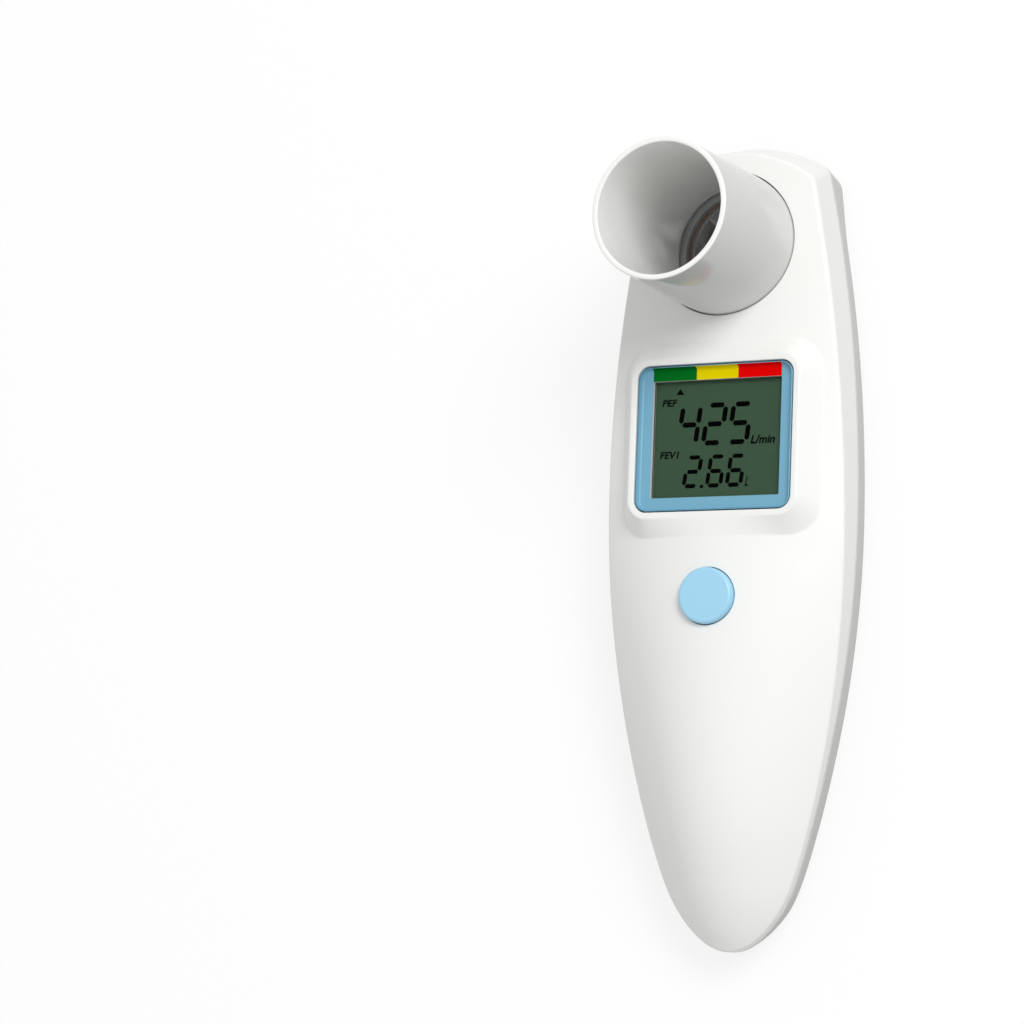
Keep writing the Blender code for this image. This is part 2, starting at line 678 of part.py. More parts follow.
def rear_cover():
    cover = rear_form("rear_cover")
    lip_in = WALL + CLEAR
    lip = body_rear("lip_form", [(REAR_FLOOR + 2.5 * MM, lip_in - 0.6 * MM)], LIP_HEIGHT, lip_in,
                    LIP_LEAN, True)
    notches = []
    for x, y, _ in screw_places():
        notches.append(post(x, y, BOSS_RADIUS + CLEAR, boss_joint(y) - 2.3 * CLEAR, ABOVE))
    cut(lip, add_object("notch_cuts", merge(*notches)))
    join(cover, lip)
    hollow = body_rear("rear_hollow", [(REAR_FLOOR, WALL + REAR_ROUND / 2),
                                       (REAR_FLOOR + 1.5 * MM, WALL + 0.3 * MM)],
                       LIP_HEIGHT + 2 * MM, lip_in + LIP_WALL, LIP_LEAN)
    tray = box(-DOOR_HALF - TRAY_MARGIN, DOOR_HALF + TRAY_MARGIN, Y_TIP - 5 * MM,
               DOOR_Y1 + TRAY_MARGIN, -1 * MM, DOOR_CLEAR_Z + TRAY_THICK)
    cut(hollow, add_object("tray_form", tray))
    cut(cover, hollow)
    inner = bay_profile(BAY_HALF, -1 * MM, BAY_CEILING, BAY_CHAMFER - BAY_WALL * (2 - math.sqrt(2)))
    outer = bay_profile(BAY_HALF + BAY_WALL, 1 * MM, BAY_CEILING + BAY_WALL, BAY_CHAMFER)
    bay = add_object("bay_form", prism_along_y(outer, BAY_Y0 - BAY_WALL, BAY_Y1 + BAY_WALL))
    bosses = [post(x, y, BOSS_RADIUS, 1 * MM, boss_joint(y) - CLEAR) for x, y, _ in screw_places()]
    seat_top = HOUSING_TOP - SOCKET_SPLIT - 2 * CLEAR
    seat = post(0.0, TUBE_Y, SOCKET_OUTER, 1 * MM, seat_top, LARGE_SIDES)
    x, back, radius = BAY_POST
    props = [post(side * x, BAY_Y1 - back, radius, BAY_CEILING + BAY_WALL / 2, BOARD_BOTTOM - CLEAR, 12)
             for side in (-1, 1)]
    join(cover, bay, add_object("rear_boss_forms", merge(*bosses)), add_object("seat_form", seat),
         add_object("prop_forms", merge(*props)))
    door_space = box(-DOOR_HALF - CLEAR, DOOR_HALF + CLEAR, Y_TIP - 5 * MM, DOOR_Y1 + CLEAR,
                     -5 * MM, DOOR_CLEAR_Z)
    recesses = []
    holes = []
    for x, y, head in screw_places():
        recesses.append(post(x, y, SCREW_HEAD_RADIUS + CLEAR, -1 * MM, head + CLEAR))
        holes.append(post(x, y, SCREW_RADIUS + CLEAR, -2 * MM, ABOVE, 12))
    slots = []
    y = BAY_Y1 - CLEAR - CONTACT_THICK / 2
    deep, wide = CONTACT_THICK / 2 + CLEAR, TAIL_HALF + CLEAR
    for side in (-1, 1):
        x = contact_x(side)
        slots.append(box(x - wide, x + wide, y - deep, y + deep, CELL_Z, ABOVE))
    reach = SOCKET_OUTER + CLEAR
    cut(cover, add_object("bay_cut", prism_along_y(inner, BAY_Y0, BAY_Y1)),
        add_object("door_cut", door_space),
        add_object("seat_cut", post(0.0, TUBE_Y, SOCKET_RADIUS, REAR_FLOOR, ABOVE, LARGE_SIDES)),
        add_object("outlet_cut", post(0.0, TUBE_Y, GRILLE_RADIUS + CLEAR, -1 * MM, HOUSING_BOTTOM,
                                      MEDIUM_SIDES)),
        add_object("recess_cuts", merge(*recesses)), add_object("screw_cuts", merge(*holes)),
        add_object("sensor_cut", along_x(post(0.0, 0.0, SENSOR_RADIUS + CLEAR, -reach, reach),
                                         SENSOR_Y, SENSOR_Z)),
        add_object("contact_cuts", merge(*slots)))
    cover.data.materials.append(material("rear_plastic", (0.82, 0.82, 0.81), 0.35))
    return cover


def battery_door():
    door = rear_form("battery_door")
    keep = box(-DOOR_HALF, DOOR_HALF, Y_TIP - 5 * MM, DOOR_Y1, -5 * MM, DOOR_THICK)
    boolean(door, add_object("door_keep", keep), "INTERSECT")
    grips = []
    for k in range(5):
        y = DOOR_Y1 - 5 * MM - k * 2 * MM
        grips.append(box(-5 * MM, 5 * MM, y - 0.45 * MM, y + 0.45 * MM, -1 * MM, 0.5 * MM))
    cut(door, add_object("grip_cuts", merge(*grips)))
    door.data.materials.append(material("door_plastic", (0.82, 0.82, 0.81), 0.4))
    return door


def mouthpiece():
    r = 0.3 * MM
    profile = [(MOUTH_BORE, MOUTH_BOTTOM), (MOUTH_BASE_RADIUS, MOUTH_BOTTOM),
               (MOUTH_BASE_RADIUS, MOUTH_FLARE_END), (MOUTH_RIM_RADIUS, MOUTH_HEIGHT - r),
               (MOUTH_RIM_RADIUS - 0.3 * r, MOUTH_HEIGHT - 0.3 * r), (MOUTH_RIM_RADIUS - r, MOUTH_HEIGHT),
               (MOUTH_BORE + r, MOUTH_HEIGHT), (MOUTH_BORE + 0.3 * r, MOUTH_HEIGHT - 0.3 * r),
               (MOUTH_BORE, MOUTH_HEIGHT - r)]
    return add_object("mouthpiece", lathe(profile, LARGE_SIDES, (0.0, TUBE_Y)),
                      material("mouthpiece_plastic", (0.9, 0.9, 0.89), 0.22), (0.0, TUBE_Y, MOUTH_BOTTOM))


def turbine_housing():
    shelf_low = BRIDGE_BOTTOM + BRIDGE_THICK + CLEAR
    shelf_high = SWIRLER_BOTTOM - CLEAR
    outer = SOCKET_RADIUS - CLEAR
    profile = [(HOUSING_BORE, HOUSING_BOTTOM), (outer, HOUSING_BOTTOM), (outer, HOUSING_TOP),
               (HOUSING_BORE, HOUSING_TOP), (HOUSING_BORE, shelf_high), (ROTOR_BORE, shelf_high),
               (ROTOR_BORE, shelf_low), (HOUSING_BORE, shelf_low)]
    housing = add_object("turbine_housing", lathe(profile, MEDIUM_SIDES, (0.0, TUBE_Y)),
                         material("turbine_plastic", (0.1, 0.1, 0.105), 0.45))
    hole = post(0.0, 0.0, SENSOR_RADIUS + CLEAR, -SOCKET_OUTER, SOCKET_OUTER)
    return cut(housing, add_object("beam_cut", along_x(hole, SENSOR_Y, SENSOR_Z)))


def flow_swirler():
    """Fixed vanes that set the breath spinning, and the rotor's front bearing."""
    outer = HOUSING_BORE - CLEAR
    inner = outer - SWIRLER_RIM
    z0, z1 = SWIRLER_BOTTOM, SWIRLER_TOP
    swirler = add_object("flow_swirler", tube_ring(inner, outer, z0, z1),
                         material("swirler_plastic", (0.12, 0.12, 0.125), 0.45))
    hub = add_object("hub_form", post(0.0, TUBE_Y, HUB_RADIUS, z0, z1, 24))
    middle = (HUB_RADIUS + inner) / 2
    turn = (z1 - z0) * math.tan(VANE_TWIST) / middle
    vanes = []
    for k in range(SWIRLER_VANES):
        bm = bmesh.new()
        rings = []
        for step in range(4):
            share = step / 3
            a = 2 * math.pi * k / SWIRLER_VANES + turn * (share - 0.5)
            z = z0 + 0.1 * MM + (z1 - z0 - 0.2 * MM) * share
            along = Vector((math.cos(a), math.sin(a), 0.0))
            across = Vector((-math.sin(a), math.cos(a), 0.0)) * VANE_THICK / 2
            ring = []
            for radius, side in ((HUB_RADIUS * 0.7, -1), (inner + SWIRLER_RIM / 2, -1),
                                 (inner + SWIRLER_RIM / 2, 1), (HUB_RADIUS * 0.7, 1)):
                spot = along * radius + across * side
                ring.append((spot.x, spot.y + TUBE_Y, z))
            rings.append(ring_verts(bm, ring))
        for lower, upper in zip(rings, rings[1:]):
            bridge_rings(bm, lower, upper)
        bm.faces.new(list(reversed(rings[0])))
        bm.faces.new(rings[-1])
        vanes.append(bm)
    join(swirler, add_object("vane_forms", merge(*vanes)), hub)
    bearing = post(0.0, TUBE_Y, PIN_RADIUS + CLEAR, z0 - 1 * MM, z1 + 1 * MM, 16)
    return cut(swirler, add_object("front_bearing_cut", bearing))


def bearing_bridge():
    """Three spokes behind the rotor, with its rear bearing."""
    outer = HOUSING_BORE - CLEAR
    inner = outer - SWIRLER_RIM
    z0, z1 = BRIDGE_BOTTOM, BRIDGE_BOTTOM + BRIDGE_THICK
    bridge = add_object("bearing_bridge", tube_ring(inner, outer, z0, z1),
                        material("bridge_plastic", (0.12, 0.12, 0.125), 0.45))
    spokes = []
    for k in range(3):
        spoke = box(HUB_RADIUS * 0.7, inner + SWIRLER_RIM / 2, -0.6 * MM, 0.6 * MM,
                    z0 + 0.1 * MM, z1 - 0.1 * MM)
        turn = Matrix.Rotation(2 * math.pi * k / 3 + math.pi / 2, 4, "Z")
        bmesh.ops.transform(spoke, matrix=turn, verts=spoke.verts)
        bmesh.ops.translate(spoke, verts=spoke.verts, vec=(0.0, TUBE_Y, 0.0))
        spokes.append(spoke)
    join(bridge, add_object("spoke_forms", merge(*spokes)),
         add_object("bridge_hub_form", post(0.0, TUBE_Y, HUB_RADIUS, z0, z1, 24)))
    bearing = post(0.0, TUBE_Y, PIN_RADIUS + CLEAR, z0 - 1 * MM, z1 + 1 * MM, 16)
    return cut(bridge, add_object("rear_bearing_cut", bearing))


def rotor():
    """Flat vane that spins in the flow, on its steel pin."""
    origin = (0.0, TUBE_Y, SENSOR_Z)
    vane = add_object("rotor_vane", box(-ROTOR_RADIUS, ROTOR_RADIUS, TUBE_Y - ROTOR_THICK / 2,
                                        TUBE_Y + ROTOR_THICK / 2, ROTOR_BOTTOM, ROTOR_TOP),
                      material("vane_plastic", (0.05, 0.05, 0.055), 0.5), origin)
    hub = post(0.0, TUBE_Y, PIN_RADIUS + CLEAR + 0.8 * MM, ROTOR_BOTTOM + 0.1 * MM,
               ROTOR_TOP - 0.1 * MM, 20)
    join(vane, add_object("vane_hub_form", hub))
    cut(vane, add_object("vane_cut", post(0.0, TUBE_Y, PIN_RADIUS + CLEAR, 0.0, 20 * MM, 16)))
    pin = post(0.0, TUBE_Y, PIN_RADIUS, BRIDGE_BOTTOM + 0.2 * MM, SWIRLER_TOP - 0.2 * MM, 16)
    add_object("rotor_pin", pin, material("pin_steel", (0.6, 0.6, 0.62), 0.25, 1.0), origin)
    return vane


def retaining_ring():
    """Open wire ring that holds the swirler down."""
    outer = HOUSING_BORE - CLEAR
    inner = outer - RING_WIRE
    z0 = SWIRLER_TOP + CLEAR
    bm = bmesh.new()
    steps = MEDIUM_SIDES
    gap = math.radians(24)
    rings = []
    for k in range(steps + 1):
        a = math.pi / 2 + gap / 2 + (2 * math.pi - gap) * k / steps
        ring = [(r * math.cos(a), TUBE_Y + r * math.sin(a), z)
                for r, z in ((inner, z0), (outer, z0), (outer, z0 + RING_WIRE), (inner, z0 + RING_WIRE))]
        rings.append(ring_verts(bm, ring))
    for lower, upper in zip(rings, rings[1:]):
        bridge_rings(bm, lower, upper)
    bm.faces.new(list(reversed(rings[0])))
    bm.faces.new(rings[-1])
    return add_object("retaining_ring", bm, material("ring_bronze", (0.42, 0.2, 0.1), 0.35, 1.0))


def inlet_seal():
    ring = tube_ring(MOUTH_BORE, SOCKET_RADIUS - CLEAR, SEAL_BOTTOM, SEAL_BOTTOM + SEAL_THICK)
    return add_object("inlet_seal", ring, material("seal_rubber", (0.06, 0.06, 0.065), 0.7))


def outlet_grille():
    flange = GRILLE_TOP - GRILLE_FLANGE_THICK
    profile = [(0.0, GRILLE_RECESS), (GRILLE_RADIUS, GRILLE_RECESS), (GRILLE_RADIUS, flange),
               (GRILLE_RADIUS + GRILLE_FLANGE, flange), (GRILLE_RADIUS + GRILLE_FLANGE, GRILLE_TOP),
               (0.0, GRILLE_TOP)]
    grille = add_object("outlet_grille", lathe(profile, MEDIUM_SIDES, (0.0, TUBE_Y)),
                        material("grille_plastic", (0.12, 0.12, 0.125), 0.5))
    reach = GRILLE_RADIUS - GRILLE_BORDER
    count = int((reach - SLOT_WIDTH / 2) / SLOT_PITCH)
    slots = []
    for k in range(-count, count + 1):
        y = k * SLOT_PITCH
        half = math.sqrt(reach**2 - (abs(y) + SLOT_WIDTH / 2) ** 2)
        slots.append(box(-half, half, TUBE_Y + y - SLOT_WIDTH / 2, TUBE_Y + y + SLOT_WIDTH / 2,
                         -1 * MM, 10 * MM))
    return cut(grille, add_object("slot_cuts", merge(*slots)))


def flow_sensor(name, side, rgb):
    """One half of the light gate that counts the rotor's turns."""
    body = along_x(post(0.0, 0.0, SENSOR_RADIUS, side * SENSOR_START, side * SENSOR_END),
                   SENSOR_Y, SENSOR_Z)
    sensor = add_object(name, body, material(name + "_resin", rgb, 0.2))
    x = side * (SENSOR_END - LEG_INSET)
    legs = []
    for across in (-1, 1):
        y = SENSOR_Y + across * LEG_SPACING / 2
        legs.append(box(x - LEG_RADIUS, x + LEG_RADIUS, y - LEG_RADIUS, y + LEG_RADIUS,
                        SENSOR_Z + 0.5 * MM, BOARD_BOTTOM - CLEAR))
    return join(sensor, add_object(name + "_leg_forms", merge(*legs)))


def display_bezel():
    """Blue dish round the window, with a rebate behind for the pane."""
    hx, hy = BEZEL_HALF
    wx, wy = WINDOW_HALF
    top = RIM_HEIGHT - BEZEL_EDGE_DROP
    low = BEZEL_FLOOR - BEZEL_THICK
    px, py = wx + PANE_OVERLAP + CLEAR, wy + PANE_OVERLAP + CLEAR
    run = BEZEL_SIDE_RUN
    levels = [(hx, hy, BEZEL_CORNER, low), (hx, hy, BEZEL_CORNER, top),
              (hx - 0.2 * run, hy - 0.2 * run, BEZEL_CORNER - 0.2 * run, top),
              (hx - 0.45 * run, hy - 0.45 * run, BEZEL_CORNER - 0.45 * run,
               BEZEL_FLOOR + 0.35 * (top - BEZEL_FLOOR)),
              (hx - run, hy - run, BEZEL_CORNER - run, BEZEL_FLOOR),
              (wx, wy, 0.2 * MM, BEZEL_FLOOR), (wx, wy, 0.2 * MM, BEZEL_FLOOR - WINDOW_LIP),
              (px, py, 0.3 * MM, BEZEL_FLOOR - WINDOW_LIP), (px, py, 0.3 * MM, low)]
    bm = bmesh.new()
    rings = []
    for half_x, half_y, corner, z in levels:
        points = rounded_rect(half_x, half_y, corner, 5, DISPLAY)
        rings.append(ring_verts(bm, [(x, y, z) for x, y in points]))
    for lower, upper in zip(rings, rings[1:] + rings[:1]):
        bridge_rings(bm, lower, upper)
    return add_object("display_bezel", bm, material("bezel_blue", (0.16, 0.42, 0.6), 0.35))


def display_stack():
    """Pane, glass, holder and contact strips between the bezel and the board."""
    pane = rounded_rect(WINDOW_HALF[0] + PANE_OVERLAP, WINDOW_HALF[1] + PANE_OVERLAP, GLASS_CORNER, 2,
                        DISPLAY)
    add_object("display_pane", stack([(pane, PANE_TOP - PANE_THICK), (pane, PANE_TOP)]),
               material("pane_clear", (0.9, 0.9, 0.9), 0.05, alpha=0.2))
    glass = rounded_rect(GLASS_HALF[0], GLASS_HALF[1], GLASS_CORNER, 2, DISPLAY)
    add_object("display_glass", stack([(glass, GLASS_BOTTOM), (glass, GLASS_TOP)]),
               material("glass_green", (0.04, 0.08, 0.045), 0.15))
    low = HOLDER_BOTTOM
    outer = rounded_rect(HOLDER_HALF[0], HOLDER_HALF[1], HOLDER_CORNER, 2, DISPLAY)
    inner_half = (GLASS_HALF[0] - HOLDER_SEAT, GLASS_HALF[1] - HOLDER_SEAT)
    inner = rounded_rect(inner_half[0], inner_half[1], GLASS_CORNER, 2, DISPLAY)
    bm = bmesh.new()
    rings = [ring_verts(bm, [(x, y, z) for x, y in points])
             for points, z in ((outer, low), (outer, HOLDER_TOP), (inner, HOLDER_TOP), (inner, low))]
    for lower, upper in zip(rings, rings[1:] + rings[:1]):
        bridge_rings(bm, lower, upper)
    add_object("display_holder", bm, material("holder_plastic", (0.75, 0.75, 0.74), 0.5))
    for name, side in (("contact_strip_top", 1), ("contact_strip_bottom", -1)):
        y = DISPLAY_Y + side * (inner_half[1] - CLEAR - STRIP_WIDTH / 2)
        strip = box(-inner_half[0] + CLEAR, inner_half[0] - CLEAR, y - STRIP_WIDTH / 2,
                    y + STRIP_WIDTH / 2, low, HOLDER_TOP)
        add_object(name, strip, material(name + "_rubber", (0.35, 0.12, 0.12), 0.7))


def board_half(y):
    """Half width of the board at y, where it stays clear of the front cover's underside."""
    middle = spline(CROWN, y - Y_TIP)
    edge = spline(EDGE, y - Y_TIP)
    share = max(middle - WALL - CLEAR - BOARD_TOP, 0.0) / (middle - edge)
    return min(BOARD_HALF_WIDTH, side_width(y) * math.sqrt(share), side_width(y) - WALL - CLEAR)


def circuit_board():
    """Board behind the display and button, cut round at the flow socket."""
    low = BUTTON_Y - BOARD_BELOW_BUTTON
    high = TUBE_Y - BOARD_ARM
    reach = SOCKET_OUTER + 0.5 * MM
    start = math.asin(BOARD_ARM / reach)
    right = [(board_half(low) - BOARD_CHAMFER, low)]
    right += [(board_half(y), y) for y in (low + BOARD_CHAMFER, (low + BUTTON_Y) / 2, BUTTON_Y, high)]
    points = list(right)
    steps = 14
    for k in range(steps + 1):
        a = -start - (math.pi - 2 * start) * k / steps
        points.append((reach * math.cos(a), TUBE_Y + reach * math.sin(a)))
    points += [(-x, y) for x, y in reversed(right)]
    add_object("circuit_board", stack([(points, BOARD_BOTTOM), (points, BOARD_TOP)]),
               material("board_green", (0.03, 0.16, 0.06), 0.4))
    holder_low = DISPLAY_Y - HOLDER_HALF[1]
    switch_high = BUTTON_Y + SWITCH_SIZE[1] / 2
    y = (holder_low + switch_high) / 2
    sx, sy, sz = CHIP_SIZE
    z = BOARD_TOP + CLEAR
    add_object("processor_chip", box(-sx / 2, sx / 2, y - sy / 2, y + sy / 2, z, z + sz),
               material("chip_resin", (0.03, 0.03, 0.032), 0.5))


def button_parts():
    """Button cap under the cover, and the switch that it presses."""
    flange = BUTTON_RADIUS + BUTTON_FLANGE
    lowest = min(crown_height(x, BUTTON_Y + y) for x, y in circle(flange, 24))
    flange_top = lowest - WALL - CLEAR
    flange_low = flange_top - BUTTON_FLANGE_THICK
    top = crown_height(0.0, BUTTON_Y) + BUTTON_PROUD
    profile = [(0.0, flange_low), (flange, flange_low), (flange, flange_top), (BUTTON_RADIUS, flange_top)]
    for angle in (0, 30, 60, 90):
        a = math.radians(angle)
        profile.append((BUTTON_RADIUS - BUTTON_ROUND * (1 - math.cos(a)),
                        top - BUTTON_ROUND * (1 - math.sin(a))))
    profile.append((0.0, top))
    origin = (0.0, BUTTON_Y, top)
    add_object("button_cap", lathe(profile, 32, (0.0, BUTTON_Y)),
               material("button_blue", (0.36, 0.62, 0.8), 0.35), origin)
    sx, sy, sz = SWITCH_SIZE
    base = BOARD_TOP + CLEAR
    switch = add_object("button_switch", box(-sx / 2, sx / 2, BUTTON_Y - sy / 2, BUTTON_Y + sy / 2,
                                             base, base + sz),
                        material("switch_black", (0.04, 0.04, 0.045), 0.5))
    well = post(0.0, BUTTON_Y, PLUNGER_RADIUS + CLEAR, base + SWITCH_FLOOR, base + sz + 1 * MM, 20)
    cut(switch, add_object("well_cut", well))
    plunger = post(0.0, BUTTON_Y, PLUNGER_RADIUS, base + SWITCH_FLOOR + CLEAR + BUTTON_TRAVEL,
                   flange_low - CLEAR, 20)
    add_object("switch_plunger", plunger, material("plunger_white", (0.8, 0.8, 0.8), 0.5), origin)


def battery_cell(name, x, y0, up):
    """One AAA cell lying along Y; up is +1 when its nub points to +Y."""
    nub_radius, nub = CELL_NUB
    r = CELL_RADIUS
    profile = [(0.0, 0.0), (r - 0.5 * MM, 0.0), (r, 0.5 * MM), (r, CELL_LENGTH - nub - 0.5 * MM),
               (r - 0.5 * MM, CELL_LENGTH - nub), (nub_radius, CELL_LENGTH - nub),
               (nub_radius, CELL_LENGTH), (0.0, CELL_LENGTH)]
    bm = lathe(profile, 24)
    turn = Matrix.Rotation(-up * math.pi / 2, 4, "X")
    bmesh.ops.transform(bm, matrix=turn, verts=bm.verts)
    start = y0 if up > 0 else y0 + CELL_LENGTH
    bmesh.ops.translate(bm, verts=bm.verts, vec=(x, start, CELL_Z))
    return add_object(name, bm, material(name + "_sleeve", (0.1, 0.1, 0.35), 0.35, 0.3))


def coil(name, x, y0, length):
    """Round-wire battery spring between y0 and y0 + length."""
    turns = 2.5
    per_turn = 12
    steps = int(turns * per_turn)
    curve = bpy.data.curves.new(name, "CURVE")
    curve.dimensions = "3D"
    curve.bevel_depth = SPRING_WIRE
    curve.bevel_resolution = 1
    curve.use_fill_caps = True
    path = curve.splines.new("POLY")
    path.points.add(steps)
    span = length - 2 * SPRING_WIRE
    for k in range(steps + 1):
        a = 2 * math.pi * k / per_turn
        y = y0 + SPRING_WIRE + span * k / steps
        path.points[k].co = (x + SPRING_RADIUS * math.cos(a), y, CELL_Z + SPRING_RADIUS * math.sin(a), 1.0)
    obj = bpy.data.objects.new(name, curve)
    bpy.context.scene.collection.objects.link(obj)
    curve.materials.append(material(name + "_steel", (0.65, 0.65, 0.66), 0.3, 1.0))
    return obj


def batteries():
    """Two AAA cells side by side, turned end for end, with their springs and plates."""
    left, right = contact_x(-1), contact_x(1)
    bridge_y = BAY_Y0 + CLEAR
    low = bridge_y + CONTACT_THICK + CLEAR
    battery_cell("battery_left", left, low, -1)
    battery_cell("battery_right", right, low + SPRING_LENGTH + CLEAR, 1)
    coil("battery_spring_right", right, low, SPRING_LENGTH)
    coil("battery_spring_left", left, low + CELL_LENGTH + CLEAR, SPRING_LENGTH)
    nickel = material("contact_nickel", (0.7, 0.69, 0.66), 0.25, 1.0)
    half, z0, z1 = CONTACT_HALF, CELL_Z - CONTACT_HALF, CELL_Z + CONTACT_HALF
    bar = box(left - half, right + half, bridge_y, bridge_y + CONTACT_THICK, z0, z1)
    add_object("contact_bridge", bar, nickel)
    y = BAY_Y1 - CLEAR - CONTACT_THICK
    for name, x in (("contact_left", left), ("contact_right", right)):
        tail = [(x - half, z0), (x + half, z0), (x + half, z1), (x + TAIL_HALF, z1),
                (x + TAIL_HALF, BOARD_BOTTOM - CLEAR), (x - TAIL_HALF, BOARD_BOTTOM - CLEAR),
                (x - TAIL_HALF, z1), (x - half, z1)]
        add_object(name, prism_along_y(tail, y, y + CONTACT_THICK), nickel)


def case_screws():
    """Five pan-head screws that hold the two covers together."""
    names = ("screw_top_left", "screw_side_left", "screw_top_right", "screw_side_right", "screw_tip")
    steel = material("screw_steel", (0.6, 0.6, 0.62), 0.3, 1.0)
    for name, (x, y, seat) in zip(names, screw_places()):
        end = boss_joint(y) + SCREW_GRIP
        profile = [(0.0, seat - SCREW_HEAD), (SCREW_HEAD_RADIUS * 0.75, seat - SCREW_HEAD),
                   (SCREW_HEAD_RADIUS, seat - SCREW_HEAD * 0.6), (SCREW_HEAD_RADIUS, seat),
                   (SCREW_RADIUS, seat), (SCREW_RADIUS, end - 0.5 * MM), (0.0, end)]
        add_object(name, lathe(profile, 12, (x, y)), steel)


def main():
    for obj in list(bpy.data.objects):
        bpy.data.objects.remove(obj, do_unlink=True)
    front_cover()
    rear_cover()
    battery_door()
    mouthpiece()
    inlet_seal()
    turbine_housing()
    flow_swirler()
    bearing_bridge()
    rotor()
    retaining_ring()
    outlet_grille()
    flow_sensor("light_emitter", -1, (0.75, 0.78, 0.85))
    flow_sensor("light_receiver", 1, (0.05, 0.05, 0.06))
    display_bezel()
    display_stack()
    circuit_board()
    button_parts()
    batteries()
    case_screws()


main()
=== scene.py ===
# %% [markdown]
# # A hand-held electronic peak flow meter
# The meter lies on its back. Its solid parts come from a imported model, and this script gives them
# the surface that the eye sees: a glossy white case, a round tube to blow into, a blue dish with a
# liquid crystal display, and one light-blue button. +X is the meter's right side, +Y points to the
# tube's end, +Z is the side with the display. Everything is in metres.

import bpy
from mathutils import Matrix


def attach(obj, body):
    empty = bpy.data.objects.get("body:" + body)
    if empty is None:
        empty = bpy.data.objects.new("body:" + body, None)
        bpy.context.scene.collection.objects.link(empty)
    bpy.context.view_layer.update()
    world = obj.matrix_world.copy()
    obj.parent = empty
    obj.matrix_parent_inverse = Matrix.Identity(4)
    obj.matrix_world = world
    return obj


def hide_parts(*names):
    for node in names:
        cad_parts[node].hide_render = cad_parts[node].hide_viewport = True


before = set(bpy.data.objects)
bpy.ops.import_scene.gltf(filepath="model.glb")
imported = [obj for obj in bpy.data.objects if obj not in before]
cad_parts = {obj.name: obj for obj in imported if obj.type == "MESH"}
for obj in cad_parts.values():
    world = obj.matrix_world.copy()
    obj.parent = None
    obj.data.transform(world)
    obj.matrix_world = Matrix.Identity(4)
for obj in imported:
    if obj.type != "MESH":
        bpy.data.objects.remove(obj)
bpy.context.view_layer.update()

# %% [markdown]
# ## Sizes of the case
# The case is drawn with a few curves: its outline seen from the front, the height of the crowned
# front along the middle and along the edge, and the line where the two halves meet. The tables give
# (distance from the tip, height) in millimetres, and a smooth curve is laid through them. The same
# curves made the solids, so the new surfaces fit them without any adjusting.

# %% Sizes and curves of the case
import math

import bmesh
import bpy
from mathutils import Matrix, Vector
from mathutils.geometry import delaunay_2d_cdt

MM = 0.001
LENGTH = 161.3 * MM
HALF_WIDTH = 25.45 * MM
WIDEST_FROM_TIP = 84.1 * MM
TOP_NARROWING = 9.3 * MM
TIP_NARROWING = 16.3 * MM
TIP_RADIUS = 7.6 * MM
TOP_RADIUS = 30.5 * MM
TOP_CORNER_RADIUS = 3.2 * MM
TOP_LEAN = 3.3 * MM
CROWN = ((0.0, 9.4), (4.0, 12.4), (12.0, 16.6), (25.0, 21.2), (40.0, 23.8), (55.0, 24.8),
         (68.5, 24.85), (80.0, 24.3), (100.0, 23.5), (120.0, 22.8), (140.0, 22.1), (161.3, 21.3))
EDGE = ((0.0, 9.4), (12.0, 10.5), (25.0, 11.9), (50.0, 14.4), (75.0, 16.9), (100.0, 18.7),
        (130.0, 20.2), (161.3, 21.3))
PARTING = ((0.0, 7.2), (12.0, 8.3), (22.0, 9.6), (36.0, 10.5), (45.0, 10.7), (161.3, 10.7))
WALL = 1.8 * MM
CLEAR = 0.3 * MM

Y_TIP = -LENGTH / 2
Y_TOP = LENGTH / 2
Y_WIDEST = Y_TIP + WIDEST_FROM_TIP
UPPER_SIDE_RADIUS = ((Y_TOP - Y_WIDEST) ** 2 + TOP_NARROWING**2) / (2 * TOP_NARROWING)
LOWER_SIDE_RADIUS = (WIDEST_FROM_TIP**2 + TIP_NARROWING**2) / (2 * TIP_NARROWING)
TUBE_Y = Y_TOP - 21.8 * MM
AXIS = (0.0, TUBE_Y)
DISPLAY_Y = TUBE_Y - 39.4 * MM
BUTTON_Y = DISPLAY_Y - 31.6 * MM
SPINE = (Y_TIP + 9.0 * MM, TUBE_Y)


def curve_height(table, distance):
    """Height of the smooth curve through a table, at a distance from the tip."""
    x = min(max(distance / MM, table[0][0]), table[-1][0] + 8.0)
    i = 0
    while i < len(table) - 2 and x > table[i + 1][0]:
        i += 1
    (x0, y0), (x1, y1) = table[i], table[i + 1]
    before, after = table[max(i - 1, 0)], table[min(i + 2, len(table) - 1)]
    slope0 = (y1 - before[1]) / (x1 - before[0])
    slope1 = (after[1] - y0) / (after[0] - x0)
    h = x1 - x0
    t = (x - x0) / h
    return MM * ((2 * t**3 - 3 * t**2 + 1) * y0 + (t**3 - 2 * t**2 + t) * h * slope0
                 + (3 * t**2 - 2 * t**3) * y1 + (t**3 - t**2) * h * slope1)


def side_width(y):
    """Half width of the case at y, as if its top end were not cut off."""
    radius = UPPER_SIDE_RADIUS if y > Y_WIDEST else LOWER_SIDE_RADIUS
    side = HALF_WIDTH - (radius - math.sqrt(radius**2 - (y - Y_WIDEST) ** 2))
    tip = math.sqrt(max(y - Y_TIP, 1e-12) * 2 * TIP_RADIUS)
    return (side**-20 + tip**-20) ** (-1 / 20)


def crown_height(x, y):
    """Height of the front face: a low arch between the middle curve and the edge curve."""
    middle = curve_height(CROWN, y - Y_TIP)
    edge = curve_height(EDGE, y - Y_TIP)
    return middle - (middle - edge) * min(abs(x) / side_width(y), 1.0) ** 2


def parting_height(y):
    """Height of the joint line between the two halves of the case."""
    return curve_height(PARTING, y - Y_TIP)


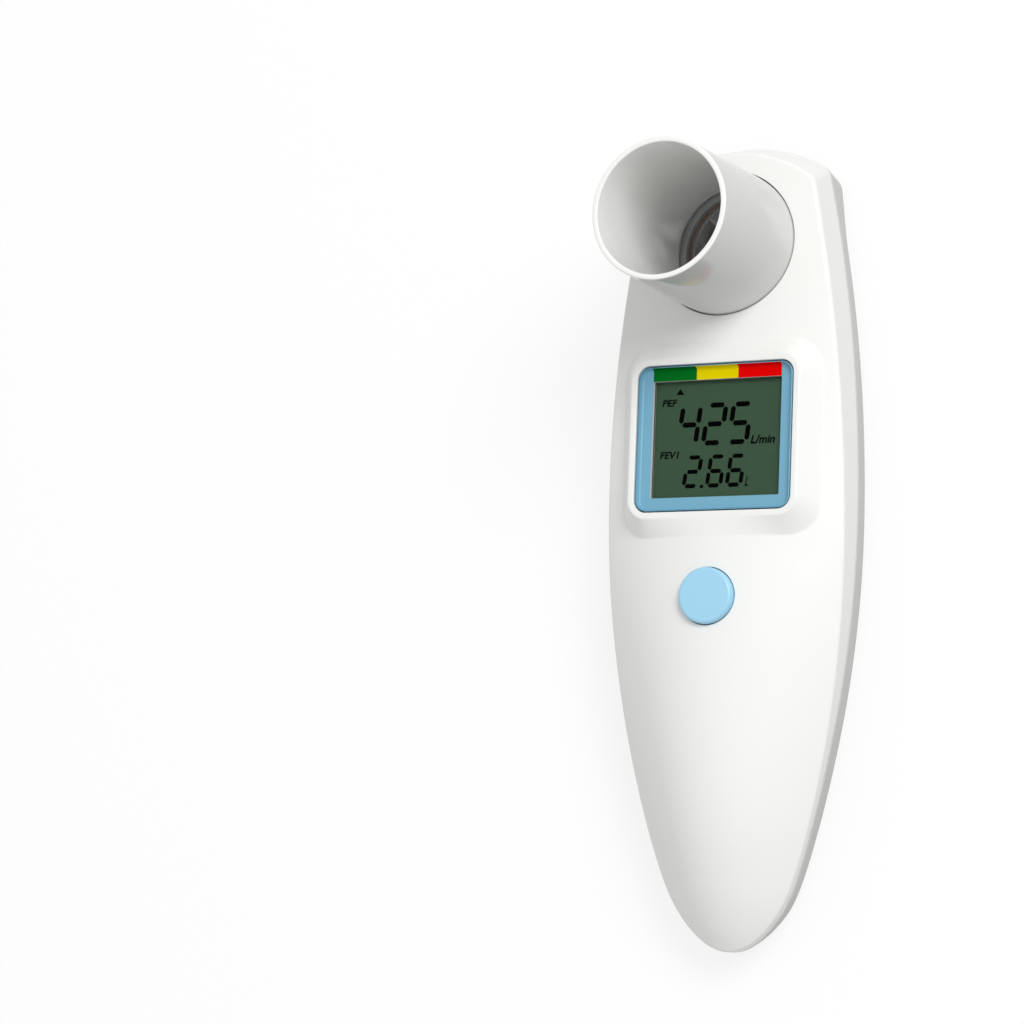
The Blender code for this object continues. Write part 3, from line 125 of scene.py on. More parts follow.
print("crown at the button:", round(crown_height(0, BUTTON_Y) / MM, 2), "mm")

# %% [markdown]
# ## The outline as a ring of points
# The outline is an arc across the top end, a small round at each top corner, two long side arcs
# and a parabolic tip. Points are set closer where it bends more. A second ring, a little shorter,
# is where the leaning top wall reaches the front face. `towards_spine` moves a point inwards, to
# the centre line of the case, and serves every wall thickness and every rounded edge.

# %% Outline rings


def arc_points(centre, radius, start, end, steps):
    """Points along an arc, without its last one."""
    turns = [start + (end - start) * k / steps for k in range(steps)]
    return [(centre[0] + radius * math.cos(a), centre[1] + radius * math.sin(a)) for a in turns]


def case_outline(top_y):
    """Outline with its top end at top_y: top centre, right side, tip, left side."""
    top_centre = (0.0, top_y - TOP_RADIUS)
    side_centre = (HALF_WIDTH - UPPER_SIDE_RADIUS, Y_WIDEST)
    r1, r2 = TOP_RADIUS - TOP_CORNER_RADIUS, UPPER_SIDE_RADIUS - TOP_CORNER_RADIUS
    dx, dy = side_centre[0] - top_centre[0], side_centre[1] - top_centre[1]
    apart = math.hypot(dx, dy)
    along = (r1**2 - r2**2 + apart**2) / (2 * apart)
    across = math.sqrt(r1**2 - along**2)
    crossings = [(top_centre[0] + (along * dx - sign * across * dy) / apart,
                  top_centre[1] + (along * dy + sign * across * dx) / apart) for sign in (-1, 1)]
    corner = max(crossings, key=lambda p: p[1])
    a1 = math.atan2(corner[1] - top_centre[1], corner[0] - top_centre[0])
    a2 = math.atan2(corner[1] - side_centre[1], corner[0] - side_centre[0])
    right = arc_points(top_centre, TOP_RADIUS, math.pi / 2, a1, 16)
    right += arc_points(corner, TOP_CORNER_RADIUS, a1, a2, 10)
    right += arc_points(side_centre, UPPER_SIDE_RADIUS, a2, 0.0, 40)
    low = Y_TIP + 14.0 * MM
    levels = [Y_WIDEST + (low - Y_WIDEST) * k / 40 for k in range(40)]
    levels += [Y_TIP + (low - Y_TIP) * (1 - k / 22) ** 2 for k in range(22)]
    right += [(side_width(y), y) for y in levels]
    return right + [(0.0, Y_TIP)] + [(-x, y) for x, y in reversed(right[1:])]


def towards_spine(point, inset):
    """Move an outline point towards the centre line; a negative inset moves it outwards."""
    x, y = point
    goal = min(max(y, SPINE[0]), SPINE[1])
    reach = math.hypot(x, goal - y)
    share = min(inset / reach, 1.0) if reach > 1e-9 else 0.0
    return (x * (1 - share), y + (goal - y) * share)


BASE = case_outline(Y_TOP)
FACE = case_outline(Y_TOP - TOP_LEAN)
print("points on the outline:", len(BASE))

# %% [markdown]
# ## Helpers for meshes
# A ring of vertices is the start of most moulded forms. `draw_ring` extrudes it and moves the new
# ring where it belongs, so a wall, a round edge or a slope is a row of small extrusions. `finish`
# turns a bmesh into an object at the origin with smooth shading, and lets it ride on its body.

# %% Mesh helpers
SHARP_ANGLE = math.radians(34.0)
SAME_PLACE = 1e-7
ROUND_STEPS = 120


def first_ring(bm, places):
    """A closed ring of vertices and edges."""
    ring = [bm.verts.new(p) for p in places]
    for a, b in zip(ring, ring[1:] + ring[:1]):
        bm.edges.new((a, b))
    return ring


def ring_edges(bm, ring):
    return [bm.edges.get((a, b)) for a, b in zip(ring, ring[1:] + ring[:1])]


def draw_ring(bm, ring, places):
    """Extrude a ring and move the new one to places."""
    made = bmesh.ops.extrude_edge_only(bm, edges=ring_edges(bm, ring))["geom"]
    fresh = {v for v in made if isinstance(v, bmesh.types.BMVert)}
    drawn = [next(e.other_vert(v) for e in v.link_edges if e.other_vert(v) in fresh) for v in ring]
    for v, p in zip(drawn, places):
        v.co = p
    return drawn


def draw_rings(bm, ring, levels):
    for places in levels:
        ring = draw_ring(bm, ring, places)
    return ring


def finish(name, bm, materials, body, replaced=()):
    """Clean a bmesh, make it an object that rides on its body, and hide the solid parts it replaces."""
    bmesh.ops.remove_doubles(bm, verts=bm.verts, dist=SAME_PLACE)
    bmesh.ops.recalc_face_normals(bm, faces=bm.faces)
    mesh = bpy.data.meshes.new(name)
    bm.to_mesh(mesh)
    bm.free()
    mesh.shade_smooth()
    mesh.set_sharp_from_angle(angle=SHARP_ANGLE)
    for material in materials:
        mesh.materials.append(material)
    piece = bpy.data.objects.new(name, mesh)
    bpy.context.scene.collection.objects.link(piece)
    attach(piece, body)
    if replaced:
        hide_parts(*replaced)
    print(f"{name}: {len(mesh.vertices)} vertices, {len(mesh.polygons)} faces")
    return piece


def rounded_rect(half_x, half_y, radius, centre=(0.0, DISPLAY_Y), corner_steps=10, side_steps=16):
    """Outline of a rectangle with round corners, with points along its straight sides too."""
    points = []
    corners = ((1, -1, -90), (1, 1, 0), (-1, 1, 90), (-1, -1, 180))
    for sx, sy, start in corners:
        cx, cy = centre[0] + sx * (half_x - radius), centre[1] + sy * (half_y - radius)
        for k in range(corner_steps + 1):
            a = math.radians(start + 90 * k / corner_steps)
            points.append((cx + radius * math.cos(a), cy + radius * math.sin(a)))
    ring = []
    for i, p in enumerate(points):
        ring.append(p)
        q = points[(i + 1) % len(points)]
        if i % (corner_steps + 1) == corner_steps:
            for k in range(1, side_steps):
                ring.append((p[0] + (q[0] - p[0]) * k / side_steps, p[1] + (q[1] - p[1]) * k / side_steps))
    return ring


def circle(radius, steps, centre):
    turns = [2 * math.pi * k / steps for k in range(steps)]
    return [(centre[0] + radius * math.cos(a), centre[1] + radius * math.sin(a)) for a in turns]


def turned(profile, steps, centre):
    """Turn a closed profile of (radius, height) round the vertical through centre."""
    bm = bmesh.new()
    verts = [bm.verts.new((r, 0.0, z)) for r, z in profile]
    edges = [bm.edges.new((a, b)) for a, b in zip(verts, verts[1:] + verts[:1])]
    bmesh.ops.spin(bm, geom=verts + edges, cent=(0, 0, 0), axis=(0, 0, 1), angle=2 * math.pi,
                   steps=steps, use_merge=True)
    bmesh.ops.remove_doubles(bm, verts=bm.verts, dist=SAME_PLACE)
    bmesh.ops.dissolve_degenerate(bm, edges=bm.edges, dist=SAME_PLACE)
    bmesh.ops.delete(bm, geom=[e for e in bm.edges if not e.link_faces], context="EDGES")
    bmesh.ops.translate(bm, verts=bm.verts, vec=(centre[0], centre[1], 0.0))
    return bm


def quarter_round(corner, before, after, steps):
    """Points of a small round that leaves the line at before and joins the next at after."""
    places = []
    for k in range(steps + 1):
        t = k / steps
        places.append(tuple((1 - t) ** 2 * b + 2 * t * (1 - t) * c + t**2 * a
                            for b, c, a in zip(before, corner, after)))
    return places


# %% [markdown]
# ## Colours and nodes
# Colours are read off as sRGB hex values, but a shader wants linear light, so one function turns
# them. One more function adds a node, with its settings and its links in one line. Four short ones
# add the nodes that most surfaces need: a noise, a blend of two colours, a range and a bump.

# %% Material helpers


def linear(hex_colour):
    """An sRGB hex colour as linear RGBA."""
    channels = [int(hex_colour[i:i + 2], 16) / 255 for i in (1, 3, 5)]
    return (*[c / 12.92 if c <= 0.04045 else ((c + 0.055) / 1.055) ** 2.4 for c in channels], 1.0)


def fill(tree, node, inputs):
    """Give a node's inputs a value or a link."""
    for key, value in inputs.items():
        if isinstance(value, bpy.types.NodeSocket):
            tree.links.new(value, node.inputs[key])
        else:
            node.inputs[key].default_value = value


def add(tree, kind, inputs=None, **settings):
    """Add a node, set its settings, and fill its inputs."""
    node = tree.nodes.new(kind)
    for key, value in settings.items():
        setattr(node, key, value)
    fill(tree, node, inputs or {})
    return node


def new_material(name):
    """A material with its shader and the object's own coordinates."""
    material = bpy.data.materials.new(name)
    material.use_nodes = True
    tree = material.node_tree
    place = add(tree, "ShaderNodeTexCoord").outputs["Object"]
    return material, tree, tree.nodes["Principled BSDF"], place


def per_mm(size_mm):
    """Scale of a pattern whose features are size_mm apart."""
    return 1.0 / (size_mm * MM)


def noise(tree, place, size_mm, detail=2.0, roughness=0.5):
    return add(tree, "ShaderNodeTexNoise", {"Vector": place, "Scale": per_mm(size_mm), "Detail": detail,
                                            "Roughness": roughness}).outputs["Fac"]


def blend(tree, factor, colour, tint):
    return add(tree, "ShaderNodeMix", {"Factor": factor, 6: linear(colour), 7: linear(tint)},
               data_type="RGBA").outputs[2]


def ramp(tree, value, start, end, low=0.0, high=1.0):
    """Turn the range from start to end into the range from low to high."""
    return add(tree, "ShaderNodeMapRange", {"Value": value, "From Min": start, "From Max": end,
                                            "To Min": low, "To Max": high}).outputs["Result"]


def relief(tree, height, strength, depth_mm):
    return add(tree, "ShaderNodeBump", {"Height": height, "Strength": strength,
                                        "Distance": depth_mm * MM}).outputs["Normal"]


# %% [markdown]
# ## Moulded plastic
# Most of the meter is injection-moulded ABS. Such a surface is never quite even: the tint drifts
# by a per cent or so over centimetres, the gloss varies where it has been handled, and a faint
# waviness bends reflections. Three noises at those real sizes give that, and the same recipe
# serves the glossy white case, the satin blue dish and the matt inner parts with other numbers.

# %% Moulded plastic
PLASTIC_IOR = 1.53


def moulded(name, colour, tint, roughness, spread=0.04, wave_mm=2.5, wave_depth_mm=0.002):
    material, tree, shader, place = new_material(name)
    handled = noise(tree, place, 6, 4.0, 0.6)
    fill(tree, shader, {
        "Base Color": blend(tree, noise(tree, place, 22), colour, tint),
        "Roughness": ramp(tree, handled, 0.3, 0.7, roughness - spread, roughness + spread),
        "Normal": relief(tree, noise(tree, place, wave_mm, 3.0), 1.0, wave_depth_mm), "IOR": PLASTIC_IOR})
    return material


glossy_white_abs = moulded("glossy_white_abs", "#f1f1ef", "#eeeeeb", 0.2)
# The rear half and its door are the same white plastic as the front, painted a light grey as painted shade
# where they face away from the light.
satin_rear_abs_painted_shade = moulded("satin_rear_abs_painted_shade", "#cfcfcd", "#cbcbc8", 0.42, 0.03, 3.0, 0.001)
satin_rear_abs_painted_shade.node_tree.nodes["Principled BSDF"].inputs["Specular IOR Level"].default_value = 0.2
# The tube is one white plastic in two painted tones: its outside darker grey as painted shade, its bore and
# lip lighter white as painted light.
tube_abs_painted_shade = moulded("tube_abs_painted_shade", "#d3d3d1", "#cfcfcd", 0.1, 0.02, 3.0, 0.001)
tube_bore_lip_painted_light = moulded("tube_bore_lip_painted_light", "#f4f4f2", "#f0f0ee", 0.16, 0.03, 3.0, 0.001)
satin_blue_abs = moulded("satin_blue_abs", "#73abc4", "#6fa7c1", 0.36)
sky_blue_abs = moulded("sky_blue_abs", "#a2d5ef", "#9dd1ec", 0.3)
white_gasket_foam = moulded("white_gasket_foam", "#dcdcda", "#cfcfcc", 0.7, 0.05, 0.4, 0.03)
# The seal, the turbine housing and the vanes are set lighter than their own tones, as painted light that
# lifts the shade down the bore.
turbine_abs_painted_light = moulded("turbine_abs_painted_light", "#b8b8ba", "#b0b0b2", 0.42, 0.05, 0.8, 0.006)
swirler_abs_painted_light = moulded("swirler_abs_painted_light", "#b2b2b4", "#aaaaac", 0.4, 0.05, 0.8, 0.006)
seal_silicone_painted_light = moulded("seal_silicone_painted_light", "#a4a4a6", "#9c9c9e", 0.62, 0.06, 0.5, 0.01)
matt_black_abs = moulded("matt_black_abs", "#2c2c2e", "#262628", 0.5, 0.06, 0.4, 0.012)
natural_abs = moulded("natural_abs", "#d8d6cd", "#d0cec4", 0.5, 0.05, 0.6, 0.01)
white_acetal = moulded("white_acetal", "#e4e4e2", "#dcdcda", 0.38, 0.05, 0.8, 0.006)
moulding_epoxy = moulded("chip_moulding_epoxy", "#2a2a2c", "#232325", 0.58, 0.05, 0.08, 0.012)
dark_resin = moulded("dark_epoxy_resin", "#1c1620", "#17121a", 0.12, 0.04, 1.5, 0.001)
water_clear_resin = moulded("water_clear_epoxy", "#cfd8ea", "#c6d0e4", 0.08, 0.03, 1.5, 0.001)
water_clear_resin.node_tree.nodes["Principled BSDF"].inputs["Transmission Weight"].default_value = 0.7
print("plastics:", len(bpy.data.materials))

# %% [markdown]
# ## Metal, rubber strips and circuit board
# Metal shows how it was worked: a wire is drawn along its length, a pin is ground, a plate is rolled,
# so its grain is a noise that is stretched one way. The contact strips are layers of black and clear
# rubber, a fifth of a millimetre each. A board's solder mask is green over the laminate and lighter
# over the copper tracks, which here follow the cell borders of a Voronoi pattern with square cells.

# %% Metal, rubber and board
GRAIN_MM = 0.3


def worked_metal(name, colour, tint, roughness, stretch=(1.0, 1.0, 1.0)):
    material, tree, shader, place = new_material(name)
    drawn = add(tree, "ShaderNodeMapping", {"Vector": place, "Scale": stretch}).outputs["Vector"]
    grain = noise(tree, drawn, GRAIN_MM, 4.0)
    fill(tree, shader, {"Base Color": blend(tree, grain, colour, tint), "Metallic": 1.0,
                        "Roughness": ramp(tree, grain, 0.3, 0.7, roughness - 0.06, roughness + 0.08),
                        "Normal": relief(tree, grain, 0.5, 0.003)})
    return material


def layered_rubber(name):
    """Black and clear layers side by side, as in the strips that lead from a board to its glass."""
    material, tree, shader, place = new_material(name)
    layers = add(tree, "ShaderNodeTexWave", {"Vector": place, "Scale": per_mm(0.4) * math.pi / 10,
                                             "Distortion": 0.0}, wave_type="BANDS", bands_direction="X")
    fill(tree, shader, {"Base Color": blend(tree, layers.outputs["Fac"], "#2a2623", "#b9a79a"),
                        "Roughness": 0.6})
    return material


def solder_mask(name):
    """Green mask over laminate and copper tracks, with its gloss a little uneven."""
    material, tree, shader, place = new_material(name)
    cells = add(tree, "ShaderNodeTexVoronoi", {"Vector": place, "Scale": per_mm(2.6), "Randomness": 0.75},
                feature="F1", distance="CHEBYCHEV")
    track = ramp(tree, cells.outputs["Distance"], 0.5, 0.56)
    fill(tree, shader, {"Base Color": blend(tree, track, "#0f5a2c", "#2c8a4c"), "Roughness": 0.32,
                        "Normal": relief(tree, track, 0.6, 0.03)})
    return material


def printed_sleeve(name, blue_ends, copper_starts):
    """Shrink sleeve of a cell: dark blue with a copper-coloured band towards its positive end."""
    material, tree, shader, place = new_material(name)
    along = add(tree, "ShaderNodeSeparateXYZ", {"Vector": place}).outputs["Y"]
    band = ramp(tree, along, blue_ends, copper_starts)
    fill(tree, shader, {"Base Color": blend(tree, band, "#2b3350", "#b27a4a"), "Metallic": 0.6,
                        "Roughness": ramp(tree, noise(tree, place, 0.5), 0.0, 1.0, 0.2, 0.34)})
    return material


drawn_bronze = worked_metal("drawn_bronze_wire", "#a08270", "#8d7060", 0.4)
ground_steel = worked_metal("ground_pin_steel", "#c6c6c8", "#b4b4b7", 0.22, (1.0, 1.0, 0.1))
nickel_plate = worked_metal("nickel_plated_steel", "#cfcbc2", "#beb9b0", 0.28, (1.0, 1.0, 0.3))
zinc_plate = worked_metal("zinc_plated_steel", "#c6c9cd", "#b0b4ba", 0.34)
zebra_rubber = layered_rubber("layered_contact_rubber")
green_mask = solder_mask("green_solder_mask")
sleeve_up = printed_sleeve("printed_sleeve_right_cell", -22.2 * MM, -21.8 * MM)
sleeve_down = printed_sleeve("printed_sleeve_left_cell", -43.8 * MM, -44.2 * MM)
print("materials:", len(bpy.data.materials))

# %% [markdown]
# ## Front half of the case
# The front is one moulded shell: walls that rise from the joint line, a fine rounded edge, a
# crowned face, and in it a raised frame for the display, a hole for the button and a round socket
# for the tube. A Boolean could cut these out of a solid, but it leaves knife edges, and here the
# light plays on the soft ones. So the shell grows from rings instead: each opening and the outline
# get their rounds as extruded rings, and the crowned face between them is an even lattice of small
# triangles that Delaunay's rule joins to the rings, lifted to the crown's height.

# %% Sizes of the openings
EDGE_ROUND = 0.9 * MM
RIM_HEIGHT = 24.5 * MM
RIM_WIDTH = 1.25 * MM
BEZEL_HALF = (16.5 * MM, 14.45 * MM)
BEZEL_CORNER = 2.4 * MM
FOOT = (3.3 * MM, 3.6 * MM)
FOOT_CORNER = 6.6 * MM
OPENING_HALF = (BEZEL_HALF[0] + CLEAR, BEZEL_HALF[1] + CLEAR)
OPENING_CORNER = BEZEL_CORNER + CLEAR
RIM_HALF = (OPENING_HALF[0] + RIM_WIDTH, OPENING_HALF[1] + RIM_WIDTH)
RIM_CORNER = OPENING_CORNER + RIM_WIDTH
BUTTON_RADIUS = 5.58 * MM
BUTTON_HOLE = 5.75 * MM
FOOT_BLEND = 0.22 * MM
RIM_BLEND = 0.22 * MM
LIP_ROUND = 0.2 * MM
OPENING_LOW = 22.6 * MM
LEDGE_TOP = 21.9 * MM
LEDGE_LOW = 20.1 * MM
POCKET_LOW = 18.6 * MM
SOCKET_RADIUS = 14.75 * MM
SOCKET_OUTER = 15.7 * MM
SOCKET_LOW = 11.3 * MM
INNER_ROUND = 0.6 * MM
FACE_PITCH = 1.6 * MM
INSIDE_PITCH = 2.4 * MM
print("opening:", [round(2 * h / MM, 2) for h in OPENING_HALF], "mm")

# %% The lattice that fills the crowned face


def inside(polygon, x, y):
    """Is (x, y) inside a closed polygon?"""
    hit = False
    for (x0, y0), (x1, y1) in zip(polygon, polygon[1:] + polygon[:1]):
        if (y0 > y) != (y1 > y) and x < (x1 - x0) * (y - y0) / (y1 - y0) + x0:
            hit = not hit
    return hit


def distance_to(polygon, x, y):
    """Distance from (x, y) to the polygon's outline."""
    best = 1.0
    for (x0, y0), (x1, y1) in zip(polygon, polygon[1:] + polygon[:1]):
        dx, dy = x1 - x0, y1 - y0
        long = dx * dx + dy * dy
        t = min(max(((x - x0) * dx + (y - y0) * dy) / long, 0.0), 1.0) if long > 1e-16 else 0.0
        best = min(best, math.hypot(x - x0 - t * dx, y - y0 - t * dy))
    return best


def within(rings, x, y):
    """Is (x, y) inside the first ring and outside the others?"""
    return inside(rings[0], x, y) and not any(inside(ring, x, y) for ring in rings[1:])


def crowned_sheet(bm, loops, height, pitch):
    """Fill between the outer loop and the openings' loops with a staggered lattice of triangles."""
    rings = [[(v.co.x, v.co.y) for v in loop] for loop in loops]
    corners = [v for loop in loops for v in loop]
    spots = [Vector(p) for ring in rings for p in ring]
    edges = []
    for ring in rings:
        start = len(edges)
        edges += [(start + k, start + (k + 1) % len(ring)) for k in range(len(ring))]
    row = 0
    y = Y_TIP
    while y < Y_TOP:
        x = -HALF_WIDTH + (row % 2) * pitch / 2
        while x < HALF_WIDTH:
            if within(rings, x, y) and min(distance_to(ring, x, y) for ring in rings) > 0.6 * pitch:
                spots.append(Vector((x, y)))
            x += pitch
        row += 1
        y += pitch * 0.866
    points, _, faces, origins, _, _ = delaunay_2d_cdt(spots, edges, [], 0, 1e-9)
    verts = []
    for point, origin in zip(points, origins):
        known = [i for i in origin if i < len(corners)]
        verts.append(corners[known[0]] if known else bm.verts.new((*point, height(*point))))
    for face in faces:
        middle = sum((points[i] for i in face), Vector((0.0, 0.0))) / 3
        if within(rings, middle.x, middle.y):
            bm.faces.new([verts[i] for i in face])
    return len(spots) - len(corners)


# %% Rounded edge, display frame, button hole and socket


def reach_of(point):
    """Distance of an outline point from the centre line."""
    return math.hypot(point[0], point[1] - min(max(point[1], SPINE[0]), SPINE[1]))


def edge_levels():
    """Rings of the front shell's side: joint line, wall, rounded edge, start of the face."""
    chamfer = 0.16 * MM
    strands = []
    for base, face in zip(BASE, FACE):
        corner_z = crown_height(*face)
        foot_z = parting_height(base[1])
        ahead = towards_spine(face, 1.0 * MM)
        rise = math.atan2(crown_height(*ahead) - corner_z, 1.0 * MM)
        slack = max(reach_of(base) - reach_of(face), 0.0)
        lean = math.atan2(slack, corner_z - foot_z)
        turn = math.pi / 2 - rise - lean
        tangent = EDGE_ROUND * math.tan(turn / 2)
        start = (-tangent * math.sin(lean), corner_z - tangent * math.cos(lean))
        centre = (start[0] + EDGE_ROUND * math.cos(lean), start[1] - EDGE_ROUND * math.sin(lean))
        low = towards_spine(base, 0.0)
        top = towards_spine(face, start[0])
        strand = [(*towards_spine(base, chamfer), foot_z)]
        for share in (chamfer / (start[1] - foot_z), 0.1, 0.5, 0.92):
            strand.append((low[0] + (top[0] - low[0]) * share, low[1] + (top[1] - low[1]) * share,
                           foot_z + (start[1] - foot_z) * share))
        for k in range(9):
            a = lean + turn * k / 8
            spot = towards_spine(face, centre[0] - EDGE_ROUND * math.cos(a))
            z = centre[1] + EDGE_ROUND * math.sin(a)
            strand.append((*spot, crown_height(*spot) if k == 8 else z))
        strands.append(strand)
    return list(zip(*strands))


def frame_levels():
    """Rings of the display frame, from its soft foot on the face up over the rim and into the opening."""
    opening = rounded_rect(*OPENING_HALF, OPENING_CORNER)
    lip = rounded_rect(*[half + LIP_ROUND for half in (*OPENING_HALF, OPENING_CORNER)])
    rim = rounded_rect(*RIM_HALF, RIM_CORNER)
    foot = rounded_rect(RIM_HALF[0] + FOOT[0], RIM_HALF[1] + FOOT[1], FOOT_CORNER)
    strands = []
    for (ox, oy), (lx, ly), (rx, ry), (fx, fy) in zip(opening, lip, rim, foot):
        reach = math.hypot(fx - rx, fy - ry)
        ux, uy = (fx - rx) / reach, (fy - ry) / reach
        foot_z = crown_height(fx, fy)
        drop = (RIM_HEIGHT - foot_z) / reach
        spread = min(FOOT_BLEND, 0.45 * reach)
        bx, by = fx + ux * spread, fy + uy * spread
        beyond = (bx, by, crown_height(bx, by))
        up = (fx - ux * spread, fy - uy * spread, foot_z + drop * spread)
        strand = quarter_round((fx, fy, foot_z), beyond, up, 8)
        below = (rx + ux * RIM_BLEND, ry + uy * RIM_BLEND, RIM_HEIGHT - drop * RIM_BLEND)
        inner = (rx - ux * RIM_BLEND, ry - uy * RIM_BLEND, RIM_HEIGHT)
        middle = tuple((a + b) / 2 for a, b in zip(up, below))
        strand += [middle] + quarter_round((rx, ry, RIM_HEIGHT), below, inner, 6)
        strand += quarter_round((ox, oy, RIM_HEIGHT), (lx, ly, RIM_HEIGHT),
                                (ox, oy, RIM_HEIGHT - LIP_ROUND), 4)
        strand += [(ox, oy, z) for z in (RIM_HEIGHT - 3 * LIP_ROUND, OPENING_LOW, LEDGE_TOP)]
        strands.append(strand)
    return list(zip(*strands))


def hole_levels(centre, radius, edge, bottom, steps):
    """Rings of a round hole in the face: a small rounded edge, then its wall down to bottom."""
    strands = []
    for (x, y), (wx, wy) in zip(circle(radius, steps, centre), circle(radius + edge, steps, centre)):
        z = crown_height(x, y)
        strand = quarter_round((x, y, z), (wx, wy, crown_height(wx, wy)), (x, y, z - edge), 4)
        strand += [(x, y, z - edge - 0.3 * MM), (x, y, z - WALL if bottom is None else bottom)]
        strands.append(strand)
    return list(zip(*strands))


# %% Build the front shell


def inner_crown(x, y):
    """Height of the front face's inner side."""
    return crown_height(x, y) - WALL


def open_edges(bm):
    return sum(len(edge.link_faces) != 2 for edge in bm.edges)


def front_shell():
    bm = bmesh.new()
    side = edge_levels()
    seam = first_ring(bm, side[0])
    face_rim = draw_rings(bm, seam, side[1:])
    openings = []
    for levels in (frame_levels(), hole_levels((0.0, BUTTON_Y), BUTTON_HOLE, 0.15 * MM, None, 64),
                   hole_levels(AXIS, SOCKET_RADIUS, 0.2 * MM, SOCKET_LOW, ROUND_STEPS)):
        rim = first_ring(bm, levels[0])
        openings.append((rim, draw_rings(bm, rim, levels[1:])))
    seat, button_low, socket_low = [low for _, low in openings]
    count = crowned_sheet(bm, [face_rim] + [rim for rim, _ in openings], crown_height, FACE_PITCH)
    rounded = [towards_spine(p, WALL + INNER_ROUND) for p in FACE]
    inner_rim = draw_rings(bm, seam, [
        [(*towards_spine(p, WALL), parting_height(p[1])) for p in BASE],
        [(*towards_spine(p, WALL), crown_height(*p) - WALL - INNER_ROUND) for p in FACE],
        [(x, y, inner_crown(x, y)) for x, y in rounded]])
    ledge = rounded_rect(14.9 * MM, 12.85 * MM, 0.8 * MM)
    pocket = rounded_rect(17.5 * MM, 15.45 * MM, 1.2 * MM)
    around = rounded_rect(18.5 * MM, 16.45 * MM, 2.2 * MM)
    steps = [(ledge, LEDGE_TOP), (ledge, LEDGE_LOW), (pocket, LEDGE_LOW), (pocket, POCKET_LOW),
             (around, POCKET_LOW)]
    surround = draw_rings(bm, seat, [[(x, y, z) for x, y in ring] for ring, z in steps]
                          + [[(x, y, inner_crown(x, y)) for x, y in around]])
    outer = circle(SOCKET_OUTER, ROUND_STEPS, AXIS)
    collar = draw_rings(bm, socket_low, [[(x, y, SOCKET_LOW) for x, y in outer],
                                         [(x, y, inner_crown(x, y)) for x, y in outer]])
    crowned_sheet(bm, [inner_rim, surround, button_low, collar], inner_crown, INSIDE_PITCH)
    print("lattice points on the face:", count, "open edges:", open_edges(bm))
    return finish("front_shell", bm, [glossy_white_abs], "meter", ["front_cover"])


front_shell()

# %% [markdown]
# ## Rear half of the case
# The rear half is drawn like the front, as one stack of rings: a flat back with a round edge, then
# walls that lean out a little up to the joint line. Inside it are the battery bay, the seat of the
# flow head and the screw pillars, and openings lead in from the back. All these cross each other at
# many places, so here closed forms are joined and cut by exact Booleans, and only the result is kept.

# %% Joining and cutting closed forms


def flat_end(bm, ring):
    bmesh.ops.contextual_create(bm, geom=ring + ring_edges(bm, ring))


def column(levels, close=flat_end):
    """A closed form through a stack of rings."""
    bm = bmesh.new()
    ring = first_ring(bm, levels[0])
    last = draw_rings(bm, ring, levels[1:])
    close(bm, ring)
    close(bm, last)
    return bm


def frame_form(levels):
    """A closed frame: the last ring of the stack joins the first."""
    bm = bmesh.new()
    ring = first_ring(bm, levels[0])
    last = draw_rings(bm, ring, levels[1:])
    bmesh.ops.bridge_loops(bm, edges=ring_edges(bm, ring) + ring_edges(bm, last))
    return bm


def close_across(bm, ring):
    """Close a ring that is the same left and right, with strips from side to side."""
    half = len(ring) // 2
    bm.faces.new((ring[0], ring[1], ring[-1]))
    for i in range(1, half - 1):
        bm.faces.new((ring[i], ring[i + 1], ring[-i - 1], ring[-i]))
    bm.faces.new((ring[half - 1], ring[half], ring[half + 1]))


def evaluated(scratch):
    """What an object's curves or modifiers come to, as a bmesh."""
    bpy.context.view_layer.update()
    mesh = bpy.data.meshes.new_from_object(scratch.evaluated_get(bpy.context.evaluated_depsgraph_get()))
    bm = bmesh.new()
    bm.from_mesh(mesh)
    bpy.data.meshes.remove(mesh)
    return bm


def carve(bm, steps):
    """Join, cut or intersect a closed form with others, in the order given."""
    helpers = []
    for form in [bm] + [form for _, form in steps]:
        bmesh.ops.recalc_face_normals(form, faces=form.faces)
        mesh = bpy.data.meshes.new("helper")
        form.to_mesh(mesh)
        form.free()
        helpers.append(bpy.data.objects.new("helper", mesh))
        bpy.context.scene.collection.objects.link(helpers[-1])
    for (operation, _), helper in zip(steps, helpers[1:]):
        modifier = helpers[0].modifiers.new("carve", "BOOLEAN")
        modifier.operation = operation
        modifier.solver = "EXACT"
        modifier.object = helper
    result = evaluated(helpers[0])
    for helper in helpers:
        mesh = helper.data
        bpy.data.objects.remove(helper)
        bpy.data.meshes.remove(mesh)
    return result


def merged(forms):
    """Several separate closed forms in one bmesh."""
    whole = bmesh.new()
    for form in forms:
        mesh = bpy.data.meshes.new("scratch")
        form.to_mesh(mesh)
        form.free()
        whole.from_mesh(mesh)
        bpy.data.meshes.remove(mesh)
    return whole


def pillar(x, y, radius, low, high, steps=48):
    return column([[(px, py, z) for px, py in circle(radius, steps, (x, y))] for z in (low, high)])


def block(x0, x1, y0, y1, low, high):
    corners = ((x0, y0), (x1, y0), (x1, y1), (x0, y1))
    return column([[(x, y, z) for x, y in corners] for z in (low, high)])


def drawn_along_y(section, y0, y1):
    return column([[(x, y, z) for x, z in section] for y in (y0, y1)])


